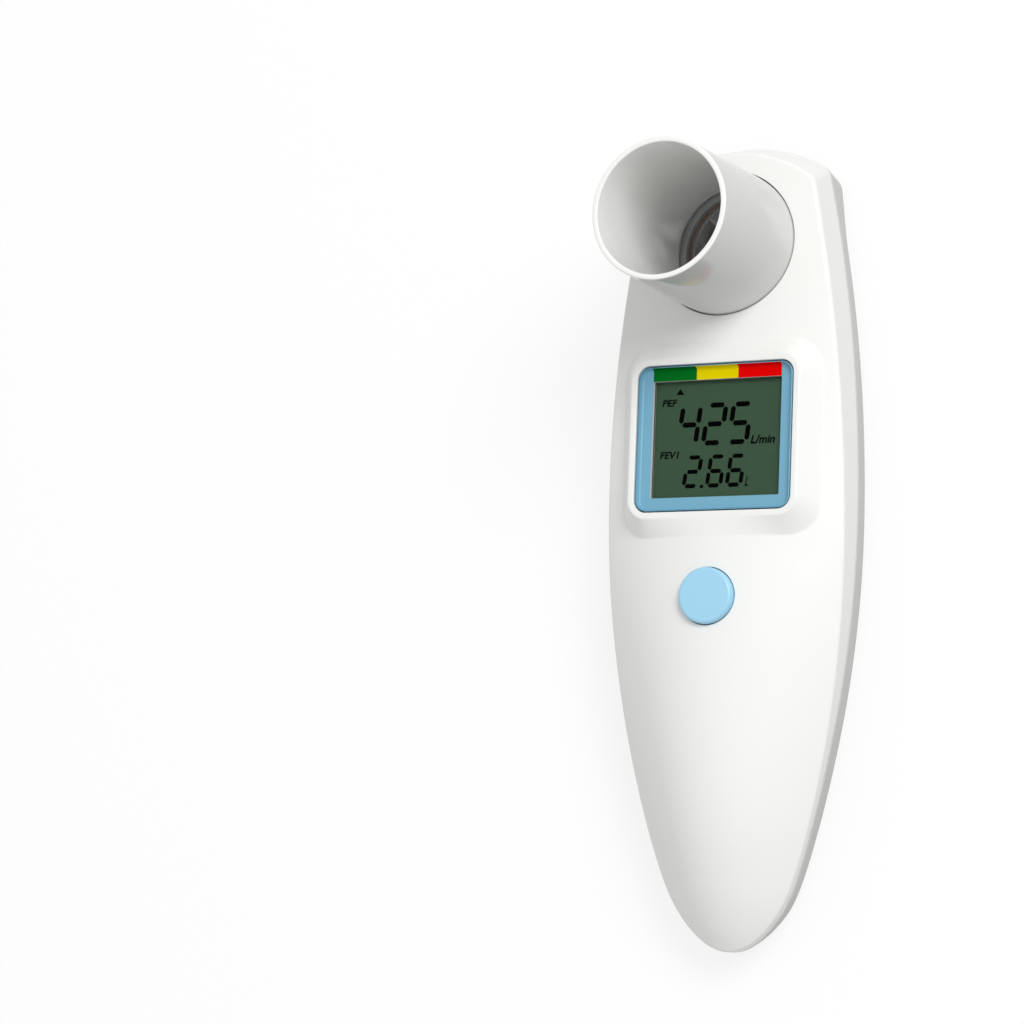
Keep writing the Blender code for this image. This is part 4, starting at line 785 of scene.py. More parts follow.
# %% Sizes of the rear half
REAR_DRAFT = 0.225
REAR_ROUND = 2.5 * MM
REAR_FLOOR = 2.0 * MM
SEAM = 0.3 * MM
SEAM_CHAMFER = 0.12 * MM
LIP_HEIGHT = 1.2 * MM
LIP_LEAN = 1.2 * MM
LIP_WALL = 0.9 * MM
HIGH = 40.0 * MM
CELL_RADIUS = 5.25 * MM
CELL_X = 5.5 * MM
CELL_Z = 7.15 * MM
DOOR_TOP = 1.6 * MM
BAY = (11.05 * MM, Y_TIP + 24.5 * MM, Y_TIP + 74.7 * MM, 12.7 * MM)
BAY_WALL = 1.2 * MM
BAY_CHAMFER = 2.4 * MM
DOOR_HALF = BAY[0] + 1.2 * MM
DOOR_END = BAY[2] + 3.0 * MM
DOOR_SPACE_TOP = DOOR_TOP + CLEAR
TRAY_EDGE = 2.0 * MM
TRAY_TOP = 3.2 * MM
SEAT_RADIUS = 16.35 * MM
SEAT_TOP = 10.7 * MM
OUTLET_RADIUS = 12.4 * MM
OUTLET_TOP = 3.3 * MM
SCREW_RADIUS = 1.0 * MM
SCREW_HEAD_RADIUS = 1.9 * MM
SCREW_HEAD = 1.5 * MM
BOSS_RADIUS = 2.5 * MM
PROP_X = 8.0 * MM
PROP_BACK = 10.6 * MM
PROP_RADIUS = 1.5 * MM
PROP_TOP = 15.7 * MM
SLOT_HALF = 1.3 * MM
SLOT_DEPTH = 1.0 * MM
GATE_Y = TUBE_Y - 9.0 * MM
GATE_Z = 7.3 * MM
GATE_RADIUS = 1.25 * MM


def screw_places():
    """The five case screws, as (node, x, y, height of the head's underside)."""
    top_y, side_y = Y_TOP - 8.8 * MM, BUTTON_Y + 9.6 * MM
    top_x, side_x = side_width(top_y) - 6.1 * MM, side_width(side_y) - 6.2 * MM
    seat = 2.3 * MM
    return [("screw_top_left", -top_x, top_y, seat), ("screw_top_right", top_x, top_y, seat),
            ("screw_side_left", -side_x, side_y, seat), ("screw_side_right", side_x, side_y, seat),
            ("screw_tip", 0.0, Y_TIP + 12.4 * MM, 3.7 * MM)]


def boss_joint(y):
    """Height where the screw pillars of the two halves meet."""
    return 11.3 * MM if y > TUBE_Y else parting_height(y) + LIP_HEIGHT + 0.8 * MM


def rear_inset(point, z):
    """How far the rear wall leans in at height z; the top end hardly leans."""
    facing_top = max(0.0, point[1] - SPINE[1]) / reach_of(point)
    return REAR_DRAFT * max(parting_height(point[1]) - z, 0.0) * (1 - 0.9 * facing_top**2)


def rear_ring(z, extra):
    return [(*towards_spine(p, rear_inset(p, z) + extra), z) for p in BASE]


def joint_ring(offset, inset, lean=0.0, under_front=False):
    """A ring that follows the joint line at an offset."""
    ring = []
    for p in BASE:
        near_top = max(0.0, p[1] - TUBE_Y) / (Y_TOP - TUBE_Y)
        x, y = towards_spine(p, inset + near_top * lean)
        z = parting_height(p[1]) + offset
        if under_front:
            z = min(z, crown_height(x, y) - WALL - EDGE_ROUND - CLEAR)
        ring.append((x, y, z))
    return ring


def rear_form():
    """Outer form of the rear half, with a round back edge and a fine chamfer at the joint."""
    levels = []
    for k in range(9):
        a = math.pi / 2 * (1 - k / 8)
        levels.append(rear_ring(REAR_ROUND * (1 - math.sin(a)), REAR_ROUND * (1 - math.cos(a))))
    levels += [joint_ring(-SEAM - SEAM_CHAMFER, 0.0), joint_ring(-SEAM, SEAM_CHAMFER)]
    return column(levels, close_across)


# %% Build the rear shell and the door


def bay_section(half, low, high, chamfer):
    return [(-half, low), (half, low), (half, high - chamfer), (half - chamfer, high),
            (chamfer - half, high), (-half, high - chamfer)]


def gate_bore(reach):
    """A bore through the flow head for the light gate."""
    bm = pillar(0.0, 0.0, GATE_RADIUS + CLEAR, -reach, reach, 32)
    bmesh.ops.transform(bm, matrix=Matrix.Rotation(math.pi / 2, 4, "Y"), verts=bm.verts)
    bmesh.ops.translate(bm, verts=bm.verts, vec=(0.0, GATE_Y, GATE_Z))
    return bm


def rear_shell():
    half, y0, y1, ceiling = BAY
    places = screw_places()
    lip = column([rear_ring(REAR_FLOOR + 2.5 * MM, WALL + CLEAR - 0.6 * MM),
                  joint_ring(LIP_HEIGHT, WALL + CLEAR, LIP_LEAN, True)], close_across)
    notches = merged(pillar(x, y, BOSS_RADIUS + CLEAR, boss_joint(y) - 2.7 * CLEAR, HIGH)
                     for _, x, y, _ in places)
    lip = carve(lip, [("DIFFERENCE", notches)])
    hollow = column([rear_ring(REAR_FLOOR, WALL + REAR_ROUND / 2),
                     rear_ring(REAR_FLOOR + 1.5 * MM, WALL + CLEAR),
                     joint_ring(LIP_HEIGHT + 2 * MM, WALL + CLEAR + LIP_WALL, LIP_LEAN)], close_across)
    tray = block(-DOOR_HALF - TRAY_EDGE, DOOR_HALF + TRAY_EDGE, Y_TIP - 5 * MM, DOOR_END + TRAY_EDGE,
                 -1 * MM, TRAY_TOP)
    hollow = carve(hollow, [("DIFFERENCE", tray)])
    bay = drawn_along_y(bay_section(half + BAY_WALL, 1 * MM, ceiling + BAY_WALL, BAY_CHAMFER),
                        y0 - BAY_WALL, y1 + BAY_WALL)
    room_chamfer = BAY_CHAMFER - BAY_WALL * (2 - math.sqrt(2))
    room = drawn_along_y(bay_section(half, -1 * MM, ceiling, room_chamfer), y0, y1)
    bosses = merged(pillar(x, y, BOSS_RADIUS, 1 * MM, boss_joint(y) - CLEAR) for _, x, y, _ in places)
    seat = pillar(*AXIS, SEAT_RADIUS, 1 * MM, SEAT_TOP, ROUND_STEPS)
    props = merged(pillar(side * PROP_X, y1 - PROP_BACK, PROP_RADIUS, ceiling + BAY_WALL / 2, PROP_TOP)
                   for side in (-1, 1))
    recesses = merged(pillar(x, y, SCREW_HEAD_RADIUS + CLEAR, -1 * MM, seat_z + CLEAR)
                      for _, x, y, seat_z in places)
    holes = merged(pillar(x, y, SCREW_RADIUS + CLEAR, -2 * MM, HIGH, 32) for _, x, y, _ in places)
    slots = merged(block(side * CELL_X - SLOT_HALF, side * CELL_X + SLOT_HALF, y1 - SLOT_DEPTH, y1,
                         CELL_Z, HIGH) for side in (-1, 1))
    door_half = DOOR_HALF + CLEAR
    door_space = block(-door_half, door_half, Y_TIP - 5 * MM, DOOR_END + CLEAR, -5 * MM, DOOR_SPACE_TOP)
    shell = carve(rear_form(), [
        ("UNION", lip), ("DIFFERENCE", hollow), ("UNION", bay), ("UNION", bosses), ("UNION", seat),
        ("UNION", props), ("DIFFERENCE", room), ("DIFFERENCE", door_space),
        ("DIFFERENCE", pillar(*AXIS, SOCKET_RADIUS, REAR_FLOOR, HIGH, ROUND_STEPS)),
        ("DIFFERENCE", pillar(*AXIS, OUTLET_RADIUS, -1 * MM, OUTLET_TOP, ROUND_STEPS)),
        ("DIFFERENCE", recesses), ("DIFFERENCE", holes),
        ("DIFFERENCE", gate_bore(SEAT_RADIUS + CLEAR)), ("DIFFERENCE", slots)])
    print("open edges of the rear shell:", open_edges(shell))
    return finish("rear_shell", shell, [satin_rear_abs_painted_shade], "meter", ["rear_cover"])


def battery_door():
    """The door is cut out of the same outer form, so that it carries the round back edge on."""
    keep = block(-DOOR_HALF, DOOR_HALF, Y_TIP - 5 * MM, DOOR_END, -5 * MM, DOOR_TOP)
    grooves = []
    for k in range(5):
        spot = (DOOR_END - (5 + 2 * k) * MM, -0.1 * MM)
        section = [(y, z) for y, z in circle(0.6 * MM, 24, spot)]
        grooves.append(column([[(x, y, z) for y, z in section] for x in (-5 * MM, 5 * MM)]))
    door = carve(rear_form(), [("INTERSECT", keep), ("DIFFERENCE", merged(grooves))])
    print("open edges of the door:", open_edges(door))
    return finish("door_panel", door, [satin_rear_abs_painted_shade], "door", ["battery_door"])


rear_shell()
battery_door()

# %% [markdown]
# ## Tube to blow into
# The tube is a plain turned form, slightly narrower at the rim, with a rounded lip. Half of its
# section is drawn as a closed profile and spun once round the flow axis. Many steps keep the
# reflections on its polished side smooth. It is one white plastic in two painted tones: its outside
# is a darker grey, painted shade, and its bore and lip a lighter white, painted light.

# %% Mouthpiece tube
TUBE_TOP = 53.1 * MM
TUBE_BORE = 12.94 * MM
TUBE_BOTTOM = 15.6 * MM
TUBE_FOOT = 14.6 * MM
TUBE_RIM = 14.0 * MM
TUBE_STEPS = 160


def mouthpiece_tube():
    lip = 0.34 * MM
    profile = [(TUBE_BORE, TUBE_BOTTOM), (TUBE_FOOT, TUBE_BOTTOM), (TUBE_FOOT, 22.0 * MM),
               (14.3 * MM, 37.0 * MM)]
    profile += quarter_round((TUBE_RIM, TUBE_TOP), (TUBE_RIM + 0.008 * lip, TUBE_TOP - lip),
                             (TUBE_RIM - lip, TUBE_TOP), 5)
    profile += quarter_round((TUBE_BORE, TUBE_TOP), (TUBE_BORE + lip, TUBE_TOP),
                             (TUBE_BORE, TUBE_TOP - lip), 5)
    profile += [(TUBE_BORE, 36.0 * MM)]
    bm = turned(profile, TUBE_STEPS, AXIS)
    # Faces of the bore and the lip take the lighter tone, painted light; the rest of the outside keeps the
    # darker tone, painted shade.
    for face in bm.faces:
        middle = face.calc_center_median()
        if math.hypot(middle.x, middle.y - TUBE_Y) < TUBE_BORE + 0.02 * MM or middle.z > TUBE_TOP - lip:
            face.material_index = 1
    return finish("mouthpiece_tube", bm, [tube_abs_painted_shade, tube_bore_lip_painted_light],
                  "mouthpiece_tube", ["mouthpiece"])


mouthpiece_tube()

# %% [markdown]
# ## Flow head
# Down the bore one sees a light grey seal, the turbine's housing, a thin bronze ring that holds six
# twisted vanes down, and below them the flat rotor on its pin. The seal, the housing and the vanes
# are painted lighter greys than their own, as painted light against the shade down the bore.
# Rings are turned, vanes are drawn along the twist, and the parts of one piece are joined by Booleans.

# %% Turned parts of the flow head
HOUSING_BORE = 11.9 * MM
HOUSING_OUTER = 14.45 * MM
ROTOR_BORE = 10.9 * MM
RING_OUTER = 11.6 * MM
RING_INNER = 10.8 * MM
HUB_RADIUS = 2.0 * MM
PIN_BORE = 0.75 * MM
BRIDGE = (3.3 * MM, 5.0 * MM)
ROTOR = (5.6 * MM, 9.0 * MM)
SWIRLER = (9.6 * MM, 12.5 * MM)
HEAD = (3.3 * MM, 14.3 * MM)
SHELF = (5.3 * MM, 9.3 * MM)
SEAL = (14.6 * MM, 15.3 * MM)
FINE_CHAMFER = 0.08 * MM
WIRE_RADIUS = 0.19 * MM
WIRE_MIDDLE = (11.35 * MM, 13.05 * MM)
WIRE_GAP_HALF = 2.3 * MM


def softened(outline, chamfer):
    """A closed profile with every corner cut off by a small chamfer."""
    soft = []
    for before, here, after in zip(outline[-1:] + outline[:-1], outline, outline[1:] + outline[:1]):
        for other in (before, after):
            reach = math.hypot(other[0] - here[0], other[1] - here[1])
            share = min(chamfer / reach, 0.4)
            soft.append((here[0] + (other[0] - here[0]) * share, here[1] + (other[1] - here[1]) * share))
    return soft


def ring_form(inner, outer, low, high, chamfer=FINE_CHAMFER):
    section = [(inner, low), (outer, low), (outer, high), (inner, high)]
    return turned(softened(section, chamfer), ROUND_STEPS, AXIS)


def flow_head():
    finish("bore_seal", ring_form(TUBE_BORE, HOUSING_OUTER, *SEAL, 0.15 * MM), [seal_silicone_painted_light], "meter",
           ["inlet_seal"])
    section = [(HOUSING_BORE, HEAD[0]), (HOUSING_OUTER, HEAD[0]), (HOUSING_OUTER, HEAD[1]),
               (HOUSING_BORE, HEAD[1]), (HOUSING_BORE, SHELF[1]), (ROTOR_BORE, SHELF[1]),
               (ROTOR_BORE, SHELF[0]), (HOUSING_BORE, SHELF[0])]
    housing = turned(softened(section, FINE_CHAMFER), ROUND_STEPS, AXIS)
    housing = carve(housing, [("DIFFERENCE", gate_bore(SEAT_RADIUS))])
    finish("housing_ring", housing, [turbine_abs_painted_light], "meter", ["turbine_housing"])
    wire = turned(circle(WIRE_RADIUS, 12, WIRE_MIDDLE), ROUND_STEPS, AXIS)
    gap = block(-WIRE_GAP_HALF, WIRE_GAP_HALF, TUBE_Y, TUBE_Y + 14 * MM, 12 * MM, 14 * MM)
    finish("bronze_ring", carve(wire, [("DIFFERENCE", gap)]), [drawn_bronze], "meter",
           ["retaining_ring"])
    pin = [(0.0, 3.5 * MM), (0.35 * MM, 3.5 * MM), (0.45 * MM, 3.6 * MM), (0.45 * MM, 12.2 * MM),
           (0.35 * MM, 12.3 * MM), (0.0, 12.3 * MM)]
    finish("ground_pin", turned(pin, 32, AXIS), [ground_steel], "rotor", ["rotor_pin"])


flow_head()

# %% Vanes, bridge, rotor and grille
VANES = 6
SPOKES = 3
VANE_THICK = 0.6 * MM
VANE_TWIST = math.radians(50.0)
SPOKE_HALF = 0.6 * MM
ARM = (1.4 * MM, 11.2 * MM)


def twisted_vane(angle, low, high):
    """One vane from the hub to the rim; its section turns as it goes up."""
    turn = (high - low) * math.tan(VANE_TWIST) / ((HUB_RADIUS + RING_INNER) / 2)
    levels = []
    for step in range(13):
        share = step / 12
        a = angle + turn * (share - 0.5)
        along, across = (math.cos(a), math.sin(a)), (-math.sin(a), math.cos(a))
        ring = []
        for radius, side in ((ARM[0], -1), (ARM[1], -1), (ARM[1], 1), (ARM[0], 1)):
            half = side * VANE_THICK / 2
            ring.append((along[0] * radius + across[0] * half,
                         TUBE_Y + along[1] * radius + across[1] * half, low + (high - low) * share))
        levels.append(ring)
    return column(levels)


def spoke(angle, low, high):
    bm = block(*ARM, -SPOKE_HALF, SPOKE_HALF, low, high)
    bmesh.ops.rotate(bm, verts=bm.verts, matrix=Matrix.Rotation(angle + math.pi / 2, 3, "Z"))
    bmesh.ops.translate(bm, verts=bm.verts, vec=(0.0, TUBE_Y, 0.0))
    return bm


def armed_ring(name, node, arm, count, low, high):
    """A ring and a bored hub, with arms between them."""
    arms = merged(arm(2 * math.pi * k / count, low + 0.1 * MM, high - 0.1 * MM) for k in range(count))
    section = [(0.0, low), (HUB_RADIUS, low), (HUB_RADIUS, high), (0.0, high)]
    form = carve(ring_form(RING_INNER, RING_OUTER, low, high), [
        ("UNION", arms), ("UNION", turned(softened(section, 0.2 * MM), 64, AXIS)),
        ("DIFFERENCE", pillar(*AXIS, PIN_BORE, low - 1 * MM, high + 1 * MM, 32))])
    finish(name, form, [swirler_abs_painted_light], "meter", [node])


def rotor_vane():
    low, high = ROTOR
    plate = block(-10.3 * MM, 10.3 * MM, TUBE_Y - 0.3 * MM, TUBE_Y + 0.3 * MM, low, high)
    bmesh.ops.bevel(plate, geom=plate.edges[:], offset=0.12 * MM, segments=2, affect="EDGES", profile=0.5)
    hub = pillar(*AXIS, 1.55 * MM, low + 0.1 * MM, high - 0.1 * MM, 48)
    bore = pillar(*AXIS, PIN_BORE, 0.0, 20 * MM, 32)
    finish("rotor_paddle", carve(plate, [("UNION", hub), ("DIFFERENCE", bore)]), [matt_black_abs], "rotor",
           ["rotor_vane"])


def outlet_grille():
    radius, flange, low, mid, high = 12.1 * MM, 13.6 * MM, 0.7 * MM, 2.3 * MM, 3.0 * MM
    plate = turned([(0.0, low), (radius - 0.3 * MM, low), (radius, low + 0.3 * MM), (radius, mid),
                    (flange, mid), (flange, high), (0.0, high)], ROUND_STEPS, AXIS)
    slots = []
    reach, half_slot = radius - 1.5 * MM, 0.75 * MM
    for k in range(-3, 4):
        y = 2.9 * MM * k
        half = math.sqrt(reach**2 - (abs(y) + half_slot) ** 2)
        ring = rounded_rect(half, half_slot, half_slot * 0.98, (0.0, TUBE_Y + y), 8, 2)
        slots.append(column([[(px, py, z) for px, py in ring] for z in (-1 * MM, 10 * MM)]))
    finish("slotted_grille", carve(plate, [("DIFFERENCE", merged(slots))]), [matt_black_abs], "meter",
           ["outlet_grille"])


armed_ring("swirler_vanes", "flow_swirler", twisted_vane, VANES, *SWIRLER)
armed_ring("bridge_spokes", "bearing_bridge", spoke, SPOKES, *BRIDGE)
rotor_vane()
outlet_grille()

# %% [markdown]
# ## Case screws
# Five pan-head screws hold the halves together. Each is turned, with a domed head, and gets a cross
# recess by cutting two crossed blocks with sloping ends out of the head.

# %% Screws


def case_screw(node, x, y, seat):
    head = seat - SCREW_HEAD
    end = boss_joint(y) + 4.0 * MM
    profile = [(0.0, head)]
    for k in range(1, 9):
        a = math.pi / 2 * k / 8
        profile.append((SCREW_HEAD_RADIUS * math.sin(a), head + 0.9 * MM * (1 - math.cos(a))))
    profile += [(SCREW_HEAD_RADIUS, seat), (SCREW_RADIUS, seat), (SCREW_RADIUS, end - 0.5 * MM), (0.0, end)]
    recess = []
    corners = ((-1, -1), (1, -1), (1, 1), (-1, 1))
    for wide, deep in ((1.15 * MM, 0.24 * MM), (0.24 * MM, 1.15 * MM)):
        levels = [[(x + sx * wide * grow, y + sy * deep * grow, z) for sx, sy in corners]
                  for grow, z in ((1.0, head - 0.3 * MM), (0.55, head + 0.85 * MM))]
        recess.append(("DIFFERENCE", column(levels)))
    screw = carve(turned(profile, 48, (x, y)), recess)
    finish("fine_" + node, screw, [zinc_plate], "meter", [node])


for place in screw_places():
    case_screw(*place)

# %% [markdown]
# ## Cells, springs and contact plates
# Two AAA cells lie side by side, turned end for end. A cell is turned, with a groove below its
# positive cap, then laid down along Y. The springs are round wire, swept along a helix.

# %% Cells and springs
CELL_LENGTH = 44.5 * MM
CELL_START = BAY[1] + 1.0 * MM
SPRING_LENGTH = 3.4 * MM
SPRING_RADIUS = 3.0 * MM
SPRING_WIRE = 0.35 * MM


def cell(node, x, start, up):
    r, nub_radius, nub = CELL_RADIUS, 1.9 * MM, 0.9 * MM
    top = CELL_LENGTH - nub
    profile = [(0.0, 0.15 * MM), (r - 1.2 * MM, 0.15 * MM), (r - 1.0 * MM, 0.0), (r - 0.35 * MM, 0.0),
               (r - 0.1 * MM, 0.1 * MM), (r, 0.35 * MM), (r, top - 0.35 * MM),
               (r - 0.1 * MM, top - 0.1 * MM), (r - 0.4 * MM, top), (r - 0.9 * MM, top),
               (r - 1.0 * MM, top - 0.2 * MM), (nub_radius + 0.5 * MM, top - 0.2 * MM),
               (nub_radius, top), (nub_radius, CELL_LENGTH - 0.25 * MM),
               (nub_radius - 0.25 * MM, CELL_LENGTH), (0.0, CELL_LENGTH)]
    bm = turned(profile, 72, (0.0, 0.0))
    for face in bm.faces:
        middle = face.calc_center_median()
        face.material_index = 0 if math.hypot(middle.x, middle.y) > r - 0.45 * MM else 1
    bmesh.ops.rotate(bm, verts=bm.verts, matrix=Matrix.Rotation(-up * math.pi / 2, 3, "X"))
    bmesh.ops.translate(bm, verts=bm.verts, vec=(x, start if up > 0 else start + CELL_LENGTH, CELL_Z))
    sleeve = sleeve_up if up > 0 else sleeve_down
    finish("fine_" + node, bm, [sleeve, nickel_plate], "meter", [node])


def spring(node, x, start):
    """Round wire along a helix, with 2.5 turns."""
    turns, per_turn, sides = 2.5, 32, 12
    span = SPRING_LENGTH - 2 * SPRING_WIRE
    levels = []
    for k in range(int(turns * per_turn) + 1):
        a = 2 * math.pi * k / per_turn
        out = Vector((math.cos(a), 0.0, math.sin(a)))
        level = start + SPRING_WIRE + span * k / (turns * per_turn)
        middle = Vector((x, level, CELL_Z)) + out * SPRING_RADIUS
        side = Vector((0.0, 1.0, 0.0))
        levels.append([middle + out * u + side * v for u, v in circle(SPRING_WIRE, sides, (0.0, 0.0))])
    finish("fine_" + node, column(levels), [nickel_plate], "meter", [node])


cell("battery_left", -CELL_X, CELL_START, -1)
cell("battery_right", CELL_X, CELL_START + SPRING_LENGTH + CLEAR, 1)
spring("battery_spring_right", CELL_X, CELL_START)
spring("battery_spring_left", -CELL_X, CELL_START + CELL_LENGTH + CLEAR)

# %% [markdown]
# ## Blue dish round the display
# The dish is a thin moulded frame: a flat floor with a square window, and a concave wall that
# sweeps up to the rim of the case. It is drawn as one ring that is extruded along the section.

# %% Display dish
FLOOR_Z = 23.2 * MM
WALL_TOP = 24.25 * MM
WALL_RUN = (0.16 * MM, 0.62 * MM)
DISH_BACK = 22.2 * MM
WINDOW_BACK = 22.8 * MM
WINDOW_HALF = (13.8 * MM, 11.75 * MM)


def dish_wall():
    """The concave wall, from rim to floor, as (distance in from the dish's edge, height)."""
    turns = [math.radians(90 * k / 8) for k in range(9)]
    return [(WALL_RUN[0] + WALL_RUN[1] * (1 - math.cos(a)) ** 0.9,
             WALL_TOP - (WALL_TOP - FLOOR_Z) * math.sin(a)) for a in turns]


def level_ring(half_x, half_y, corner, z):
    """A rounded rectangle round the display's middle, at height z."""
    return [(x, y, z) for x, y in rounded_rect(half_x, half_y, corner)]


def display_dish():
    hx, hy = BEZEL_HALF
    section = [(0.0, DISH_BACK), (0.0, 24.1 * MM), (0.06 * MM, 24.2 * MM)] + dish_wall()
    rings = [level_ring(hx - run, hy - run, BEZEL_CORNER - run, z) for run, z in section]
    for grow, z in ((0.05 * MM, FLOOR_Z), (0.0, 23.14 * MM), (0.0, WINDOW_BACK)):
        rings.append(level_ring(WINDOW_HALF[0] + grow, WINDOW_HALF[1] + grow, 0.25 * MM + grow, z))
    rings += [level_ring(14.7 * MM, 12.65 * MM, 0.5 * MM, z) for z in (WINDOW_BACK, DISH_BACK)]
    return finish("display_dish", frame_form(rings), [satin_blue_abs], "meter",
                  ["display_bezel"])


display_dish()

# %% [markdown]
# ## Traffic-light bars
# Three printed bars, green, yellow and red, lie on the floor of the dish above the window and run
# up its wall. They are ink, so they are strips only a few hundredths of a millimetre proud, drawn
# along the dish's own section.

# %% Printed bars
BAR_EDGES = (-13.8 * MM, -4.4 * MM, 4.55 * MM, 13.8 * MM)
BAR_GAP = 0.003 * MM
INK_FILM = 0.03 * MM


def printed_ink(name, colour, tint):
    """Screen-printed ink: an even colour whose film has a very fine grain."""
    material, tree, shader, place = new_material(name)
    grain = noise(tree, place, 0.25)
    fill(tree, shader, {"Base Color": blend(tree, grain, colour, tint), "Roughness": 0.4,
                        "Specular IOR Level": 0.02, "Normal": relief(tree, grain, 0.4, 0.004)})
    return material


ink_green = printed_ink("green_screen_ink", "#016b1f", "#02671d")
ink_yellow = printed_ink("yellow_screen_ink", "#dccb01", "#d8c701")
ink_red = printed_ink("red_screen_ink", "#de0101", "#da0101")


def zone_bars():
    bm = bmesh.new()
    section = [(WINDOW_HALF[1] - 0.02 * MM, FLOOR_Z)]
    section += [(BEZEL_HALF[1] - run, z) for run, z in reversed(dish_wall())]
    outline = [(y - INK_FILM / 2, z + INK_FILM) for y, z in section]
    outline += [(y, z + 0.3 * INK_FILM) for y, z in reversed(section)]
    for index, (x0, x1) in enumerate(zip(BAR_EDGES, BAR_EDGES[1:])):
        ring = first_ring(bm, [(x0 + BAR_GAP, DISPLAY_Y + y, z) for y, z in outline])
        far = draw_ring(bm, ring, [(x1 - BAR_GAP, DISPLAY_Y + y, z) for y, z in outline])
        flat_end(bm, ring)
        flat_end(bm, far)
        for v in ring:
            for f in v.link_faces:
                f.material_index = index
    return finish("zone_bars", bm, [ink_green, ink_yellow, ink_red], "meter")


zone_bars()

# %% [markdown]
# ## Window and liquid crystal glass
# Behind the window lie a clear pane in a white gasket and, a little deeper, the liquid crystal
# glass. Its dark green field is nearly even; the figures are segments that turn black. The segments
# and legends are thin raised shapes just over the field, where the real ones sit inside the glass.

# %% Window, gasket and glass
ACRYLIC_IOR = 1.49
PANE_HALF = (13.75 * MM, 11.7 * MM)
PANE_CORNER = 0.3 * MM
GLASS_HALF = (14.6 * MM, 12.55 * MM)
FIELD_Z = 21.7 * MM


def clear_acrylic(name):
    """Acrylic pane: nearly all light passes, and it mirrors more at a flat angle."""
    material, tree, shader, place = new_material(name)
    mirror = add(tree, "ShaderNodeFresnel", {"IOR": ACRYLIC_IOR}).outputs["Fac"]
    haze = noise(tree, place, 5, 3.0)
    fill(tree, shader, {"Alpha": ramp(tree, mirror, 0.0, 1.0, 0.0, 0.7), "IOR": ACRYLIC_IOR,
                        "Roughness": ramp(tree, haze, 0.0, 1.0, 0.02, 0.07),
                        "Base Color": linear("#0c120e")})
    return material


def liquid_crystal(name, colour, tint, cloud_mm, roughness, mirrored):
    """Liquid crystal behind glass: a dark tone that is a little uneven and mirrors next to nothing."""
    material, tree, shader, place = new_material(name)
    fill(tree, shader, {"Base Color": blend(tree, noise(tree, place, cloud_mm), colour, tint),
                        "Roughness": roughness, "Specular IOR Level": mirrored})
    return material


acrylic_pane = clear_acrylic("clear_acrylic_pane")
crystal_field = liquid_crystal("liquid_crystal_field", "#516f56", "#4e6b53", 9, 0.5, 0.1)
segment_black = liquid_crystal("liquid_crystal_segments", "#050705", "#030403", 3, 0.6, 0.0)

pane = column([level_ring(*PANE_HALF, PANE_CORNER, z * MM) for z in (22.0, 22.5)])
finish("window_pane", pane, [acrylic_pane], "meter", ["display_pane"])
glass = column([level_ring(*GLASS_HALF, PANE_CORNER, z) for z in (20.1 * MM, FIELD_Z)])
finish("crystal_glass", glass, [crystal_field], "meter", ["display_glass"])


def window_gasket():
    """White foam frame that holds the pane against the back of the dish."""
    rings = [level_ring(hx * MM, hy * MM, corner * MM, z * MM)
             for hx, hy, corner, z in ((13.79, 11.74, 0.3, 21.74), (13.79, 11.74, 0.3, 23.1),
                                       (13.82, 11.77, 0.3, 23.1), (13.82, 11.77, 0.3, 22.78),
                                       (14.6, 12.55, 0.5, 22.78), (14.6, 12.55, 0.5, 21.74))]
    return finish("window_gasket", frame_form(rings), [white_gasket_foam], "meter")


window_gasket()

# %% Seven-segment figures and legends
PLATE_LOW = FIELD_Z + 0.005 * MM
PLATE_HIGH = FIELD_Z + 0.02 * MM
SEGMENTS = {"a": ((0, 1), (1, 1)), "b": ((1, 1), (1, 0.5)), "c": ((1, 0.5), (1, 0)), "d": ((0, 0), (1, 0)),
            "e": ((0, 0.5), (0, 0)), "f": ((0, 1), (0, 0.5)), "g": ((0, 0.5), (1, 0.5))}
FIGURES = {"2": "abged", "4": "fgbc", "5": "afgcd", "6": "afgedc"}


def add_segment(bm, start, end, half, gap):
    """One bar of a figure, with pointed ends, as a thin plate on the field."""
    along = (end - start).normalized()
    across = Vector((-along.y, along.x)) * half
    a, b = start + along * gap, end - along * gap
    shoulder = along * half * 0.75
    add_plate(bm, [a, a + shoulder - across, b - shoulder - across, b, b - shoulder + across,
                   a + shoulder + across])


def add_plate(bm, outline):
    """A thin plate of any outline, standing 0.02 mm over the field."""
    face = bm.faces.new([bm.verts.new((p[0], DISPLAY_Y + p[1], PLATE_LOW)) for p in outline])
    made = bmesh.ops.extrude_face_region(bm, geom=[face])["geom"]
    bmesh.ops.translate(bm, vec=(0, 0, PLATE_HIGH - PLATE_LOW),
                        verts=[v for v in made if isinstance(v, bmesh.types.BMVert)])


def add_figure(bm, figure, x, y, width, height, slant, half):
    for key in FIGURES[figure]:
        ends = [Vector(((x + u * width + v * height * slant) * MM, (y + v * height) * MM))
                for u, v in SEGMENTS[key]]
        add_segment(bm, ends[0], ends[1], half * MM, 0.3 * MM * width / 3.8)


def display_figures():
    bm = bmesh.new()
    for figure, x in zip("425", (-8.73, -3.26, 2.20)):
        add_figure(bm, figure, x, -0.78, 3.78, 7.53, 0.13, 0.51)
    for figure, x in zip("266", (-7.17, -2.17, 2.12)):
        add_figure(bm, figure, x, -9.3, 2.87, 5.72, 0.14, 0.42)
    add_plate(bm, circle(0.37 * MM, 16, (-3.3 * MM, -9.45 * MM)))
    add_plate(bm, [(-8.59 * MM, 10.34 * MM), (-9.4 * MM, 9.12 * MM), (-7.67 * MM, 9.12 * MM)])
    return finish("display_figures", bm, [segment_black], "meter")


